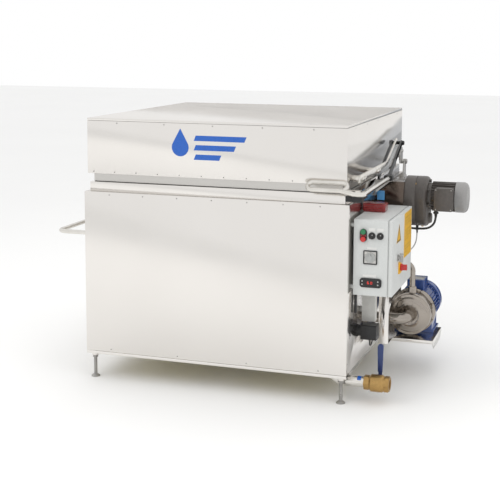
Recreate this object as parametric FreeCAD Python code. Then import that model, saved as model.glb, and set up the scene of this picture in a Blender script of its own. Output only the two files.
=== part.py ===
import FreeCAD, Part
import math
import os

# Parts washer tank: a heated, insulated tank with a counter-hinged lid, a round
# basket turned by a geared motor, a wash pump, a drain valve and a control cabinet.
# Millimetres, +Z up, +X to the right side that carries the machinery, -Y to the front.
# Lengths are given from the centre of the tank on the floor; place() moves the
# finished parts so that the origin is under the middle of the whole object.

V = FreeCAD.Vector
X_AXIS = V(1, 0, 0)
Y_AXIS = V(0, 1, 0)
Z_AXIS = V(0, 0, 1)

# --- driving dimensions --------------------------------------------------------
SHEET = 2.0
BODY_X = 620.0            # half width of the outer panels
BODY_Y = 617.0            # half depth of the outer panels
BASE_Z = 117.0            # underside of the base frame
PANEL_Z = 131.5           # lower edge of the outer panels
PANEL_TOP = 878.0
RIM_X, RIM_Y = 600.0, 597.0
RIM_TOP = 921.0
TANK_X, TANK_Y = 568.0, 565.0
TANK_WALL = 2.5
TANK_FLOOR = 165.0
SKIRT_X, SKIRT_Y = 586.0, 582.0
SKIRT_Z = 924.0
LID_X, LID_Y = 608.0, 604.0
LID_Z = 961.0
LID_SEAM = 1202.0
LID_TOP = 1214.0
LID_LIP_GAP = 1.0

HINGE_Y, HINGE_Z = 592.0, 935.0
HINGE_PIN = 8.0
RUN = 0.05                # radial running clearance of a pin in its bore

ARM_X0, ARM_X1 = 646.0, 656.0
PIVOT_Y, PIVOT_Z = 240.0, 1066.0      # where the handle swings on the lid arm
FORK_Y, FORK_Z = -56.0, 933.0         # lower end of the fork bars
TUBE = 10.0                            # radius of handle and rail tube
HANDLE_FRONT_Y = -655.0

RAIL_X, RAIL_Y, RAIL_Z = -772.0, 590.0, 680.0

CAB_X0, CAB_X1 = 635.0, 783.0
CAB_Y0, CAB_Y1 = -580.0, -140.0
CAB_Z0, CAB_Z1 = 486.0, 815.0
DOOR_X0, DOOR_X1 = 788.5, 803.0
DOOR_HINGE_X, DOOR_HINGE_Y = 788.0, -138.0

BUTTON_X, GREEN_Z, RED_Z = 677.0, 763.0, 731.0
SELECTORS_X, SELECTOR_Z = (714.0, 750.0), 747.0
TIMER_X, TIMER_Z = 708.5, 653.0
CONTROLLER_X, CONTROLLER_Z = 712.0, 543.0
MAIN_SWITCH_Y, MAIN_SWITCH_Z = -414.0, 585.0
LOCK_Y, LOCK_Z = -462.0, 636.0
MAINS_X, MAINS_Y = 740.0, -290.0       # gland for the mains lead

DRIVE_Z = 846.0
SHAFT_R = 12.0
WHEEL_R = 50.0
WHEEL_X0, WHEEL_X1 = 455.0, 475.0
CONSOLE_X = 752.0
GEAR_X1 = 860.0
MOTOR_X1 = 985.0
FAN_X1 = 1040.0

BASKET_R = 448.0
BASKET_RIM_R = 480.0
BASKET_RIM_Z = DRIVE_Z + WHEEL_R + 0.3
BASKET_TOP = 904.0
BASKET_FLOOR_Z = 244.0
PIVOT_R = 20.0

PUMP_X, PUMP_Z = 796.0, 296.0
SHELF_TOP = 186.0
SUCTION_Y, SUCTION_R = -196.0, 25.0
OUTLET_X, OUTLET_Y, OUTLET_R, OUTLET_TOP = 800.0, -65.0, 13.0, 532.0

DRAIN_Y, DRAIN_Z, DRAIN_R = -540.0, 91.0, 24.0
VALVE_X0, VALVE_X1, VALVE_STEM_X = 684.0, 796.0, 742.0
LEVER_TOP = 252.0
OUTLET_THREAD_R, OUTLET_THREAD_LENGTH = 22.4, 22.0

FOOT_X, FOOT_Y = 590.0, 587.0
SCREW_HEAD_R, SCREW_HEAD_H = 3.4, 1.5

HEATER_Y, HEATER_Z = -415.0, 285.0
DUCT_X0, DUCT_X1, DUCT_Y0, DUCT_Y1, DUCT_Z0 = 630.0, 690.0, -375.0, -335.0, 318.0

# Routes of the three free cables: each point is a corner of the path.
MOTOR_CABLE_D = 10.0
MOTOR_CABLE = [(905, -88, 777), (905, -88, 746), (890, -84, 719), (864, -77, 703),
               (817, -68, 699), (773, -60, 699), (732, -55, 699), (706, -70, 700),
               (690, -97, 700), (690, -126, 700)]
SENSOR_CABLE_D = 6.0
SENSOR_CABLE = [(805, 0, 682), (805, 0, 656), (804, -8, 631), (798, -23, 610),
                (789, -45, 597), (779, -70, 591), (766, -98, 592), (766, -126, 592)]
HEATER_CABLE_D = 6.0
HEATER_CABLE = [(676, -350, 318), (676, -350, 286), (678, -352, 254), (677, -361, 227),
                (676, -382, 213), (676, -406, 218), (676, -415, 234), (676, -415, 245)]

# Everything is moved by this, so that the origin is under the middle of the box
# around the object: from the rail to the motor, from the handle to the rear panel.
X_LOW, X_HIGH = RAIL_X - TUBE, FAN_X1
Y_LOW, Y_HIGH = HANDLE_FRONT_Y - TUBE, BODY_Y + SCREW_HEAD_H
ORIGIN = V((X_LOW + X_HIGH) / 2, (Y_LOW + Y_HIGH) / 2, 0)


# --- shapes ----------------------------------------------------------------------
def box(x0, x1, y0, y1, z0, z1):
    return Part.makeBox(x1 - x0, y1 - y0, z1 - z0, V(x0, y0, z0))


def rod(start, axis, radius, length):
    return Part.makeCylinder(radius, length, V(*start), axis)


def pipe_piece(start, axis, outer, inner, length):
    return rod(start, axis, outer, length).cut(rod(start, axis, inner, length))


def fuse(*shapes):
    return shapes[0].multiFuse(list(shapes[1:])).removeSplitter()


def cut(shape, *tools):
    return shape.cut(Part.makeCompound(list(tools))) if len(tools) > 1 else shape.cut(tools[0])


def plane_point(axis, a, b, along):
    if axis == X_AXIS:
        return V(along, a, b)
    if axis == Y_AXIS:
        return V(a, along, b)
    return V(a, b, along)


def prism(points, axis, start, end):
    corners = [plane_point(axis, a, b, start) for a, b in points]
    face = Part.Face(Part.makePolygon(corners + corners[:1]))
    return face.extrude(axis * (end - start))


def soften(shape, axis, radius):
    """Round the edges that run along an axis."""
    edges = []
    for edge in shape.Edges:
        if edge.Curve.TypeId == "Part::GeomLine":
            direction = (edge.lastVertex().Point - edge.firstVertex().Point).normalize()
            if abs(direction.dot(axis)) > 0.999:
                edges.append(edge)
    return shape.makeFillet(radius, edges)


def rounded_box(x0, x1, y0, y1, z0, z1, axis, radius):
    return soften(box(x0, x1, y0, y1, z0, z1), axis, radius)


def hexagon(start, axis, across_corners, length):
    points = []
    for corner in range(6):
        angle = math.radians(60 * corner)
        points.append((across_corners / 2 * math.cos(angle), across_corners / 2 * math.sin(angle)))
    piece = prism(points, axis, 0, length)
    piece.translate(V(*start))
    return piece


def wall_ring(outer_x, outer_y, thickness, z0, z1):
    inner_x, inner_y = outer_x - thickness, outer_y - thickness
    return cut(box(-outer_x, outer_x, -outer_y, outer_y, z0, z1),
               box(-inner_x, inner_x, -inner_y, inner_y, z0, z1))


def mirrored(shape, across):
    return shape.mirror(V(0, 0, 0), across)


def rounded_wire(points, radii):
    """Straight runs joined by tangent arcs, with one radius for each inner point."""
    points = [V(*point) for point in points]
    edges = []
    start = points[0]
    for index in range(1, len(points) - 1):
        corner = points[index]
        into = (corner - points[index - 1]).normalize()
        out = (points[index + 1] - corner).normalize()
        half_turn = into.getAngle(out) / 2
        reach = radii[index - 1] * math.tan(half_turn)
        first, last = corner - into * reach, corner + out * reach
        towards = (out - into).normalize()
        depth = radii[index - 1] * (1 / math.cos(half_turn) - 1)
        edges.append(Part.LineSegment(start, first).toShape())
        edges.append(Part.Arc(first, corner + towards * depth, last).toShape())
        start = last
    edges.append(Part.LineSegment(start, points[-1]).toShape())
    return Part.Wire(edges)


def swept_rod(points, radii, radius):
    wire = rounded_wire(points, radii)
    direction = V(*points[1]) - V(*points[0])
    profile = Part.Wire(Part.makeCircle(radius, V(*points[0]), direction))
    return wire.makePipeShell([profile], True, False)


def cable(name, points, diameter):
    """A free cable: each arc is as large as its two runs allow."""
    radii = []
    for index in range(1, len(points) - 1):
        before = V(*points[index]) - V(*points[index - 1])
        after = V(*points[index + 1]) - V(*points[index])
        half_turn = before.getAngle(after) / 2
        radii.append(0.45 * min(before.Length, after.Length) / math.tan(half_turn))
    solid = swept_rod(points, radii, diameter / 2)
    length = solid.Volume / (math.pi * diameter ** 2 / 4)
    wire_length = rounded_wire(points, radii).Length
    print(name, "length", round(length), "path", round(wire_length),
          "radii", [round(radius) for radius in radii])
    return [solid]


def screw_head(point, axis):
    head = Part.makeCone(SCREW_HEAD_R, SCREW_HEAD_R * 0.55, SCREW_HEAD_H, V(*point), axis)
    return head


def hull_of_circles(y, upper, lower, axis, start, end):
    """Outline round two circles on one vertical line: (z, radius) for each."""
    (z_up, r_up), (z_low, r_low) = upper, lower
    lean = math.asin((r_up - r_low) / (z_up - z_low))
    side = [(r_up * math.cos(lean), z_up - r_up * math.sin(lean)),
            (r_low * math.cos(lean), z_low - r_low * math.sin(lean))]
    right_up = plane_point(axis, y + side[0][0], side[0][1], start)
    right_low = plane_point(axis, y + side[1][0], side[1][1], start)
    left_low = plane_point(axis, y - side[1][0], side[1][1], start)
    left_up = plane_point(axis, y - side[0][0], side[0][1], start)
    top = plane_point(axis, y, z_up + r_up, start)
    bottom = plane_point(axis, y, z_low - r_low, start)
    wire = Part.Wire([Part.Arc(left_up, top, right_up).toShape(),
                      Part.LineSegment(right_up, right_low).toShape(),
                      Part.Arc(right_low, bottom, left_low).toShape(),
                      Part.LineSegment(left_low, left_up).toShape()])
    return Part.Face(wire).extrude(axis * (end - start))


def finned_barrel(start, axis, core, fin_tip, length, count):
    """Motor frame: a core with straight cooling fins along it."""
    barrel = rod(start, axis, core, length)
    fins = []
    for index in range(count):
        fin = Part.makeBox(fin_tip - core + 4, 2.6, length, V(core - 4, -1.3, 0))
        fin.rotate(V(0, 0, 0), Z_AXIS, 360.0 * (index + 0.5) / count)
        turn = FreeCAD.Rotation(Z_AXIS, axis)
        fin.Placement = FreeCAD.Placement(V(*start), turn).multiply(fin.Placement)
        fins.append(fin)
    return barrel.multiFuse(fins)


# --- tank ------------------------------------------------------------------------
def pipe_holes(clearance):
    """Tools for every hole through the right side: shaft, suction, wash line."""
    return [rod((540, 0, DRIVE_Z), X_AXIS, SHAFT_R + 8, 100),
            rod((540, SUCTION_Y, PUMP_Z), X_AXIS, SUCTION_R + clearance, 100),
            rod((540, OUTLET_Y, OUTLET_TOP), X_AXIS, OUTLET_R + clearance, 100),
            rod((540, HEATER_Y, HEATER_Z), X_AXIS, 16 + clearance, 100)]


def outer_panels():
    flange = 21.0
    front = fuse(box(-BODY_X, BODY_X, -BODY_Y, -BODY_Y + SHEET, PANEL_Z, PANEL_TOP),
                 box(-BODY_X, BODY_X, -BODY_Y, -BODY_Y + SHEET + flange,
                     PANEL_TOP - SHEET, PANEL_TOP),
                 box(-BODY_X, BODY_X, -BODY_Y, -BODY_Y + SHEET + flange,
                     PANEL_Z, PANEL_Z + SHEET))
    depth = BODY_Y - SHEET - 0.2
    inner = BODY_Y - SHEET - flange - 0.2
    right = fuse(box(BODY_X - SHEET, BODY_X, -depth, depth, PANEL_Z, PANEL_TOP),
                 box(BODY_X - SHEET - flange, BODY_X, -inner, inner,
                     PANEL_TOP - SHEET, PANEL_TOP),
                 box(BODY_X - SHEET - flange, BODY_X, -inner, inner,
                     PANEL_Z, PANEL_Z + SHEET))
    corners = [box(BODY_X - 30, BODY_X + 1, min(y, y + side * 40), max(y, y + side * 40), z, z + 4)
               for side, y in ((-1, -inner), (1, inner))
               for z in (PANEL_TOP - SHEET, PANEL_Z - 2)]
    right = cut(right, *corners)
    left = mirrored(right, X_AXIS)
    return [front, mirrored(front, Y_AXIS), cut(right, *pipe_holes(0.5)), left]


def inner_tank():
    wall = wall_ring(TANK_X, TANK_Y, TANK_WALL, TANK_FLOOR, RIM_TOP - SHEET)
    floor = box(-TANK_X, TANK_X, -TANK_Y, TANK_Y, TANK_FLOOR, TANK_FLOOR + TANK_WALL)
    tank = fuse(wall, floor)
    drain_hole = rod((540, DRAIN_Y, TANK_FLOOR - 5), Z_AXIS, DRAIN_R, 20)
    return [cut(tank, drain_hole, *pipe_holes(0.0))]


def tank_rim():
    skirt = wall_ring(RIM_X, RIM_Y, SHEET, PANEL_TOP, RIM_TOP)
    top = wall_ring(RIM_X, RIM_Y, RIM_X - TANK_X + TANK_WALL, RIM_TOP - SHEET, RIM_TOP)
    return [fuse(skirt, top)]


def base_frame():
    """Folded rails round the bottom, a cross member and a bush at each foot."""
    rail, wall = 60.0, 3.0
    top = BASE_Z + 13.5
    pieces = []
    for side in (-1, 1):
        y_out, y_in = side * BODY_Y, side * (BODY_Y - rail)
        lip = side * (BODY_Y - wall)
        pieces.append(fuse(box(-BODY_X, BODY_X, min(y_out, y_in), max(y_out, y_in),
                               BASE_Z, BASE_Z + wall),
                           box(-BODY_X, BODY_X, min(y_out, lip), max(y_out, lip),
                               BASE_Z, top)))
        x_out, x_in = side * BODY_X, side * (BODY_X - rail)
        lip = side * (BODY_X - wall)
        reach = BODY_Y - rail
        pieces.append(fuse(box(min(x_out, x_in), max(x_out, x_in), -reach, reach,
                               BASE_Z, BASE_Z + wall),
                           box(min(x_out, lip), max(x_out, lip), -reach, reach,
                               BASE_Z, top)))
    pieces.append(box(-30, 30, -BODY_Y + rail, BODY_Y - rail, BASE_Z, top))
    for x in (-FOOT_X, FOOT_X):
        for y in (-FOOT_Y, FOOT_Y):
            pieces.append(pipe_piece((x, y, BASE_Z - 14), Z_AXIS, 15, 8 + RUN, 14))
    hole_tools = [rod((x, y, BASE_Z - 1), Z_AXIS, 8 + RUN, 10)
                  for x in (-FOOT_X, FOOT_X) for y in (-FOOT_Y, FOOT_Y)]
    hole_tools.append(box(512, 597, DRAIN_Y - DRAIN_R - 1, DRAIN_Y + DRAIN_R + 1,
                          BASE_Z - 1, BASE_Z + 20))
    return [piece.cut(Part.makeCompound(hole_tools)) for piece in pieces]


def levelling_feet():
    pieces = []
    for x in (-FOOT_X, FOOT_X):
        for y in (-FOOT_Y, FOOT_Y):
            pad = fuse(rod((x, y, 0), Z_AXIS, 20, 4),
                       Part.makeCone(20, 10, 8, V(x, y, 4), Z_AXIS),
                       rod((x, y, 10), Z_AXIS, 8, 118))
            pieces.append(pad)
            nut = hexagon((x, y, BASE_Z - 24), Z_AXIS, 27, 9.8)
            pieces.append(nut.cut(rod((x, y, 80), Z_AXIS, 8, 50)))
    return pieces


def side_rail():
    rail = swept_rod([(-BODY_X - 3, -RAIL_Y, RAIL_Z), (RAIL_X, -RAIL_Y, RAIL_Z),
                      (RAIL_X, RAIL_Y, RAIL_Z), (-BODY_X - 3, RAIL_Y, RAIL_Z)],
                     [38, 38], TUBE)
    roses = [rod((-BODY_X, y, RAIL_Z), V(-1, 0, 0), 22, 3) for y in (-RAIL_Y, RAIL_Y)]
    return [fuse(rail, *roses)]


def panel_screws():
    heads = []
    for x in (-495, -330, -165, 0, 165, 330, 495):
        for side in (-1, 1):
            axis = V(0, side, 0)
            heads.append(screw_head((x, side * BODY_Y, PANEL_TOP - 12), axis))
            if x in (-495, -165, 165, 495):
                heads.append(screw_head((x, side * BODY_Y, PANEL_Z + 12), axis))
    for z in (180, 345, 510, 840):
        for side in (-1, 1):
            heads.append(screw_head((side * BODY_X, -600, z), V(side, 0, 0)))
            if z < 800:
                heads.append(screw_head((side * BODY_X, 600, z), V(side, 0, 0)))
    return heads


def tank_insulation():
    """Mineral wool slabs between the inner tank and the panels."""
    low, high = PANEL_Z + 4, PANEL_TOP - 4
    gap = 1.0
    front_in, front_out = TANK_Y + gap, BODY_Y - SHEET - gap
    side_in, side_out = TANK_X + gap, BODY_X - SHEET - gap
    front = box(-side_out, side_out, -front_out, -front_in, low, high)
    right = box(side_in, side_out, -front_in + gap, front_in - gap, low, high)
    bottom = box(-side_in + gap, side_in - gap, -front_in + gap, front_in - gap,
                 low, TANK_FLOOR - gap)
    bottom = bottom.cut(rod((540, DRAIN_Y, low - 1), Z_AXIS, DRAIN_R + 26, 60))
    return [front, mirrored(front, Y_AXIS), cut(right, *pipe_holes(2.0)),
            mirrored(right, X_AXIS), bottom]


def side_brackets():
    """Hinge ears at both rear corners and the rest under the lid handle."""
    ear_x0, ear_x1 = 626.0, 634.0
    ear = prism([(548, 800), (606, 800), (606, 935), (600, 948), (584, 948), (566, 930),
                 (548, 880)], X_AXIS, ear_x0, ear_x1)
    ear = ear.cut(rod((ear_x0 - 1, HINGE_Y, HINGE_Z), X_AXIS, HINGE_PIN + RUN, 20))
    spacer = box(BODY_X, ear_x0, 552, 602, 804, 872)
    bolts = [hexagon((ear_x1, y, z), X_AXIS, 20, 6) for y in (563, 591) for z in (818, 858)]
    right = fuse(ear, spacer, *bolts)
    rest = fuse(box(BODY_X, BODY_X + 4, -106, -66, 850, 921.5),
                box(BODY_X, BODY_X + 80, -106, -66, 917.5, 921.5),
                prism([(BODY_X + 4, 917.5), (BODY_X + 70, 917.5), (BODY_X + 4, 862)],
                      Y_AXIS, -88, -84))
    return [right, mirrored(right, X_AXIS), rest]


def lid_switch():
    body = rounded_box(630, 674, -600, -560, 888, 914, Z_AXIS, 4)
    plunger = rod((652, -580, 913), Z_AXIS, 5, 5)
    bracket = box(RIM_X, 630, -594, -566, 889, 912)
    gland = rod((652, -560, 900), Y_AXIS, 7, 14)
    return [fuse(body, plunger, gland), bracket]


# --- lid -------------------------------------------------------------------------
def lid_walls():
    return [wall_ring(LID_X, LID_Y, SHEET, LID_Z, LID_SEAM)]


def lid_top():
    pan = box(-LID_X, LID_X, -LID_Y, LID_Y, LID_SEAM + LID_LIP_GAP, LID_TOP)
    inside = box(-LID_X + SHEET, LID_X - SHEET, -LID_Y + SHEET, LID_Y - SHEET,
                 LID_SEAM, LID_TOP - SHEET)
    return [pan.cut(inside)]


def lid_liner():
    """Skirt, ledge and inner lining, folded from one sheet."""
    inner_x, inner_y, ceiling = 560.0, 556.0, 1170.0
    skirt = wall_ring(SKIRT_X, SKIRT_Y, SHEET, SKIRT_Z, LID_Z + SHEET)
    ledge = cut(box(-LID_X + SHEET, LID_X - SHEET, -LID_Y + SHEET, LID_Y - SHEET,
                    LID_Z, LID_Z + SHEET),
                box(-SKIRT_X + SHEET, SKIRT_X - SHEET, -SKIRT_Y + SHEET, SKIRT_Y - SHEET,
                    LID_Z, LID_Z + SHEET))
    foot = wall_ring(SKIRT_X, SKIRT_Y, SKIRT_X - inner_x + SHEET, SKIRT_Z, SKIRT_Z + SHEET)
    lining = wall_ring(inner_x, inner_y, SHEET, SKIRT_Z, ceiling)
    top = box(-inner_x, inner_x, -inner_y, inner_y, ceiling - SHEET, ceiling)
    return [fuse(skirt, ledge, foot, lining, top)]


def lid_gasket():
    ring = cut(box(-584, 584, -580, 580, RIM_TOP + 0.3, SKIRT_Z),
               box(-568, 568, -564, 564, RIM_TOP, SKIRT_Z))
    return [ring]


def lid_decal():
    """A plain drop and three bars, cut from blue foil."""
    face_y, foil = -LID_Y, 0.6
    drop_x, drop_z, drop_r = -152.0, 1095.0, 40.0
    tip = (drop_x, drop_z + 2.1 * drop_r)
    lean = math.acos(1 / 2.1)
    right = (drop_x + drop_r * math.sin(lean), drop_z + drop_r * math.cos(lean))
    left = (drop_x - drop_r * math.sin(lean), right[1])
    points = [plane_point(Y_AXIS, a, b, face_y - foil)
              for a, b in (tip, right, left, (drop_x, drop_z - drop_r))]
    wire = Part.Wire([Part.LineSegment(points[0], points[1]).toShape(),
                      Part.Arc(points[1], points[3], points[2]).toShape(),
                      Part.LineSegment(points[2], points[0]).toShape()])
    pieces = [Part.Face(wire).extrude(V(0, foil, 0))]
    for index, length in enumerate((236.0, 188.0, 120.0)):
        z = 1138.0 - 42.0 * index
        pieces.append(prism([(-88, z - 12), (-88 + length, z - 12), (-78 + length, z + 12),
                             (-78, z + 12)], Y_AXIS, face_y - foil, face_y))
    return pieces


def lid_arm():
    """Flat bar on the lid's right wall that carries the handle's pivot."""
    straight_end = 24.0
    rise = math.atan2(PIVOT_Z - 978, PIVOT_Y - straight_end)
    up = (-20 * math.sin(rise), 20 * math.cos(rise))
    bar = prism([(-560, 968), (-548, 958), (straight_end + 4, 958),
                 (PIVOT_Y - up[0], PIVOT_Z - up[1]), (PIVOT_Y + up[0], PIVOT_Z + up[1]),
                 (straight_end - 4, 998), (-548, 998), (-560, 988)], X_AXIS, ARM_X0, ARM_X1)
    eye = rod((ARM_X0, PIVOT_Y, PIVOT_Z), X_AXIS, 22, ARM_X1 - ARM_X0)
    bore = rod((ARM_X0 - 1, PIVOT_Y, PIVOT_Z), X_AXIS, HINGE_PIN + RUN, 20)
    bar = fuse(bar, eye).cut(bore)
    pieces = [bar]
    for y in (-520, -480, -220, -180):
        pieces.append(rod((LID_X, y, 978), X_AXIS, 11, ARM_X0 - LID_X))
        pieces.append(hexagon((ARM_X1, y, 978), X_AXIS, 22, 7))
    pieces.append(fuse(box(LID_X, LID_X + 3, -596, -566, 940, 990),
                       box(LID_X, 664, -596, -566, 937, 940),
                       box(640, 664, -590, -572, 918.6, 940)))
    return pieces


def lid_screws():
    heads = []
    for index in range(12):
        for side in (-1, 1):
            heads.append(screw_head((-577.5 + 105 * index, side * LID_Y, LID_Z + 8),
                                    V(0, side, 0)))
    for index in range(9):
        for side in (-1, 1):
            heads.append(screw_head((side * LID_X, -410 + 105 * index, LID_Z + 8),
                                    V(side, 0, 0)))
    for x in (-460, -230, 0, 230, 460):
        for side in (-1, 1):
            heads.append(screw_head((x, side * LID_Y, LID_SEAM - 9), V(0, side, 0)))
            heads.append(screw_head((side * LID_X, x, LID_SEAM - 9), V(side, 0, 0)))
    return heads


def lid_hinges():
    leaf = prism([(540, 948), (556, 927), (606, 927), (606, 990), (590, 1010), (540, 1010)],
                 X_AXIS, LID_X, LID_X + 8)
    pin = rod((LID_X, HINGE_Y, HINGE_Z), X_AXIS, HINGE_PIN, 34)
    collar = rod((LID_X, HINGE_Y, HINGE_Z), X_AXIS, 13, 17.5)
    head = rod((634.5, HINGE_Y, HINGE_Z), X_AXIS, 13, 6)
    bolts = [hexagon((LID_X + 8, y, 990), X_AXIS, 16, 5) for y in (556, 584)]
    right = fuse(leaf, pin, collar, head, *bolts)
    return [right, mirrored(right, X_AXIS)]


# --- lid handle ------------------------------------------------------------------
def fork_bars():
    along = V(0, FORK_Y - PIVOT_Y, FORK_Z - PIVOT_Z)
    length = along.Length
    along.normalize()
    across = V(0, -along.z, along.y) * 12.5

    def bar(x0, x1):
        corners = []
        for distance, side in ((0, 1), (length, 1), (length, -1), (0, -1)):
            point = V(0, PIVOT_Y, PIVOT_Z) + along * distance + across * side
            corners.append((point.y, point.z))
        return fuse(prism(corners, X_AXIS, x0, x1),
                    rod((x0, PIVOT_Y, PIVOT_Z), X_AXIS, 12.5, x1 - x0),
                    rod((x0, FORK_Y, FORK_Z), X_AXIS, 12.5, x1 - x0))

    pin = fuse(rod((619, PIVOT_Y, PIVOT_Z), X_AXIS, HINGE_PIN, 71),
               hexagon((680, PIVOT_Y, PIVOT_Z), X_AXIS, 24, 8),
               hexagon((617, PIVOT_Y, PIVOT_Z), X_AXIS, 24, 8))
    foot = rounded_box(664, 700, -112, -58, 922, 947, Y_AXIS, 4)
    outer = fuse(bar(672, 680), foot)
    bore = rod((600, PIVOT_Y, PIVOT_Z), X_AXIS, HINGE_PIN, 100)
    inner = bar(625, 633)
    return [outer.cut(bore), inner.cut(bore), pin]


def handle_tube():
    """Side leg, front bar and the oval grip loop, bent from one tube."""
    loop_r = 23.2
    tilt = math.atan2(28, 37)
    front_z, back_z = 943.0, 943.0 + 2 * loop_r * math.sin(tilt)
    back_y = HANDLE_FRONT_Y + 2 * loop_r * math.cos(tilt)
    mid_y, mid_z = (HANDLE_FRONT_Y + back_y) / 2, (front_z + back_z) / 2
    left_x, right_x = 468.0, 592.0

    def loop_point(centre_x, angle):
        sideways = loop_r * math.sin(angle)
        height = loop_r * math.cos(angle)
        return V(centre_x + sideways, mid_y + height * math.cos(tilt),
                 mid_z + height * math.sin(tilt))

    knee = V(688, HANDLE_FRONT_Y, 929)
    start = V(686, -112.2, 934)
    join = V(right_x, HANDLE_FRONT_Y, front_z)
    bend = V(648, HANDLE_FRONT_Y, 932)
    lead = rounded_wire([start, knee, bend, join, V(left_x, HANDLE_FRONT_Y, front_z)],
                        [32, 60, 60])
    left_end = Part.Arc(V(left_x, HANDLE_FRONT_Y, front_z), loop_point(left_x, -math.pi / 2),
                        V(left_x, back_y, back_z)).toShape()
    back = Part.LineSegment(V(left_x, back_y, back_z), V(right_x, back_y, back_z)).toShape()
    wire = Part.Wire(list(lead.Edges) + [left_end, back])
    profile = Part.Wire(Part.makeCircle(TUBE, start, knee - start))
    tube = wire.makePipeShell([profile], True, False)
    closing_arc = Part.Arc(V(right_x, back_y, back_z), loop_point(right_x, math.radians(75)),
                           loop_point(right_x, math.radians(150))).toShape()
    end_profile = Part.Wire(Part.makeCircle(TUBE, V(right_x, back_y, back_z), X_AXIS))
    closing = Part.Wire([closing_arc]).makePipeShell([end_profile], True, False)
    return [fuse(tube, closing)]


# --- control cabinet -------------------------------------------------------------
def cabinet_body():
    shell = box(CAB_X0, CAB_X1, CAB_Y0, CAB_Y1, CAB_Z0, CAB_Z1)
    hollow = box(CAB_X0 + SHEET, CAB_X1 - SHEET, CAB_Y0 + SHEET, CAB_Y1 - SHEET,
                 CAB_Z0 + SHEET, CAB_Z1 - SHEET)
    mouth = box(CAB_X1 - 10, CAB_X1 + 1, CAB_Y0 + 14, CAB_Y1 - 14, CAB_Z0 + 14, CAB_Z1 - 14)
    holes = [rod((BUTTON_X, CAB_Y0 - 1, GREEN_Z), Y_AXIS, 8.4, 10),
             rod((BUTTON_X, CAB_Y0 - 1, RED_Z), Y_AXIS, 8.4, 10)]
    shell = cut(shell, hollow, mouth, *holes)
    standoffs = [rod((BODY_X, y, z), X_AXIS, 9, CAB_X0 - BODY_X)
                 for y in (-550, -170) for z in (516, 785)]
    return [shell] + standoffs


def cabinet_door():
    door = rounded_box(DOOR_X0, DOOR_X1, CAB_Y0, CAB_Y1, CAB_Z0, CAB_Z1, X_AXIS, 3)
    hollow = box(DOOR_X0 - 1, DOOR_X1 - SHEET, CAB_Y0 + SHEET, CAB_Y1 - SHEET,
                 CAB_Z0 + SHEET, CAB_Z1 - SHEET)
    door = door.cut(hollow)
    seal_x0, seal_x1 = CAB_X1 + 0.3, DOOR_X1 - SHEET
    seal = cut(box(seal_x0, seal_x1, CAB_Y0 + 4, CAB_Y1 - 4, CAB_Z0 + 4, CAB_Z1 - 4),
               box(seal_x0, seal_x1, CAB_Y0 + 13, CAB_Y1 - 13, CAB_Z0 + 13, CAB_Z1 - 13))
    return [door, seal]


def door_labels():
    """Blank yellow plates: a triangle and a rectangle."""
    triangle = prism([(-436, 779), (-493, 702), (-394, 702)], X_AXIS, DOOR_X1, DOOR_X1 + 0.6)
    plate = box(DOOR_X1, DOOR_X1 + 0.6, -318, -148, 605, 806)
    return [triangle, plate]


def main_switch_plate():
    return [rounded_box(DOOR_X1, DOOR_X1 + 5, MAIN_SWITCH_Y - 27, MAIN_SWITCH_Y + 27,
                        MAIN_SWITCH_Z - 27, MAIN_SWITCH_Z + 27, X_AXIS, 5)]


def main_switch_knob():
    start = DOOR_X1 + 5.3
    disc = rod((start, MAIN_SWITCH_Y, MAIN_SWITCH_Z), X_AXIS, 16, 8)
    grip = rounded_box(start + 7, start + 28, MAIN_SWITCH_Y - 5.5, MAIN_SWITCH_Y + 5.5,
                       MAIN_SWITCH_Z - 13, MAIN_SWITCH_Z + 13, X_AXIS, 4.5)
    return [fuse(disc, grip)]


def door_lock():
    """Quarter-turn with a wing grip."""
    start = DOOR_X1 + 0.3
    disc = rod((start, LOCK_Y, LOCK_Z), X_AXIS, 14, 5)
    boss = rod((start, LOCK_Y, LOCK_Z), X_AXIS, 8, 14)
    wing = rounded_box(start + 9, start + 24, LOCK_Y - 3.5, LOCK_Y + 3.5, LOCK_Z - 20,
                       LOCK_Z + 20, X_AXIS, 3)
    return [fuse(disc, boss, wing)]


def obround_plate(x, z0, z1, radius, y0, y1):
    lower = rod((x, y0, z0 + radius), Y_AXIS, radius, y1 - y0)
    upper = rod((x, y0, z1 - radius), Y_AXIS, radius, y1 - y0)
    return fuse(lower, upper, box(x - radius, x + radius, y0, y1, z0 + radius, z1 - radius))


def control_bezels():
    """Rings of the buttons and selectors, timer housing and controller case."""
    face = CAB_Y0
    plate = obround_plate(BUTTON_X, RED_Z - 12, GREEN_Z + 12, 15, face - 5, face)
    pockets = [rod((BUTTON_X, face - 6, z), Y_AXIS, 11.6, 8) for z in (GREEN_Z, RED_Z)]
    pieces = [cut(plate, *pockets)]
    for x in SELECTORS_X:
        pieces.append(rod((x, face - 4, SELECTOR_Z), Y_AXIS, 15, 4))
    timer = rounded_box(TIMER_X - 30, TIMER_X + 30, face - 5, face, TIMER_Z - 30,
                        TIMER_Z + 30, Y_AXIS, 4)
    recess = box(TIMER_X - 26, TIMER_X + 26, face - 6, face - 3, TIMER_Z - 26, TIMER_Z + 26)
    controller = rounded_box(CONTROLLER_X - 47, CONTROLLER_X + 47, face - 7, face,
                             CONTROLLER_Z - 20, CONTROLLER_Z + 20, Y_AXIS, 12)
    window = rounded_box(CONTROLLER_X - 24, CONTROLLER_X + 24, face - 8, face - 5.5,
                         CONTROLLER_Z - 10, CONTROLLER_Z + 10, Y_AXIS, 2)
    return pieces + [timer.cut(recess), controller.cut(window)]


def push_button(z):
    face = CAB_Y0
    return [fuse(rod((BUTTON_X, face - 11, z), Y_AXIS, 11.2, 6.8),
                 rod((BUTTON_X, face - 5, z), Y_AXIS, 8, 23))]


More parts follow.
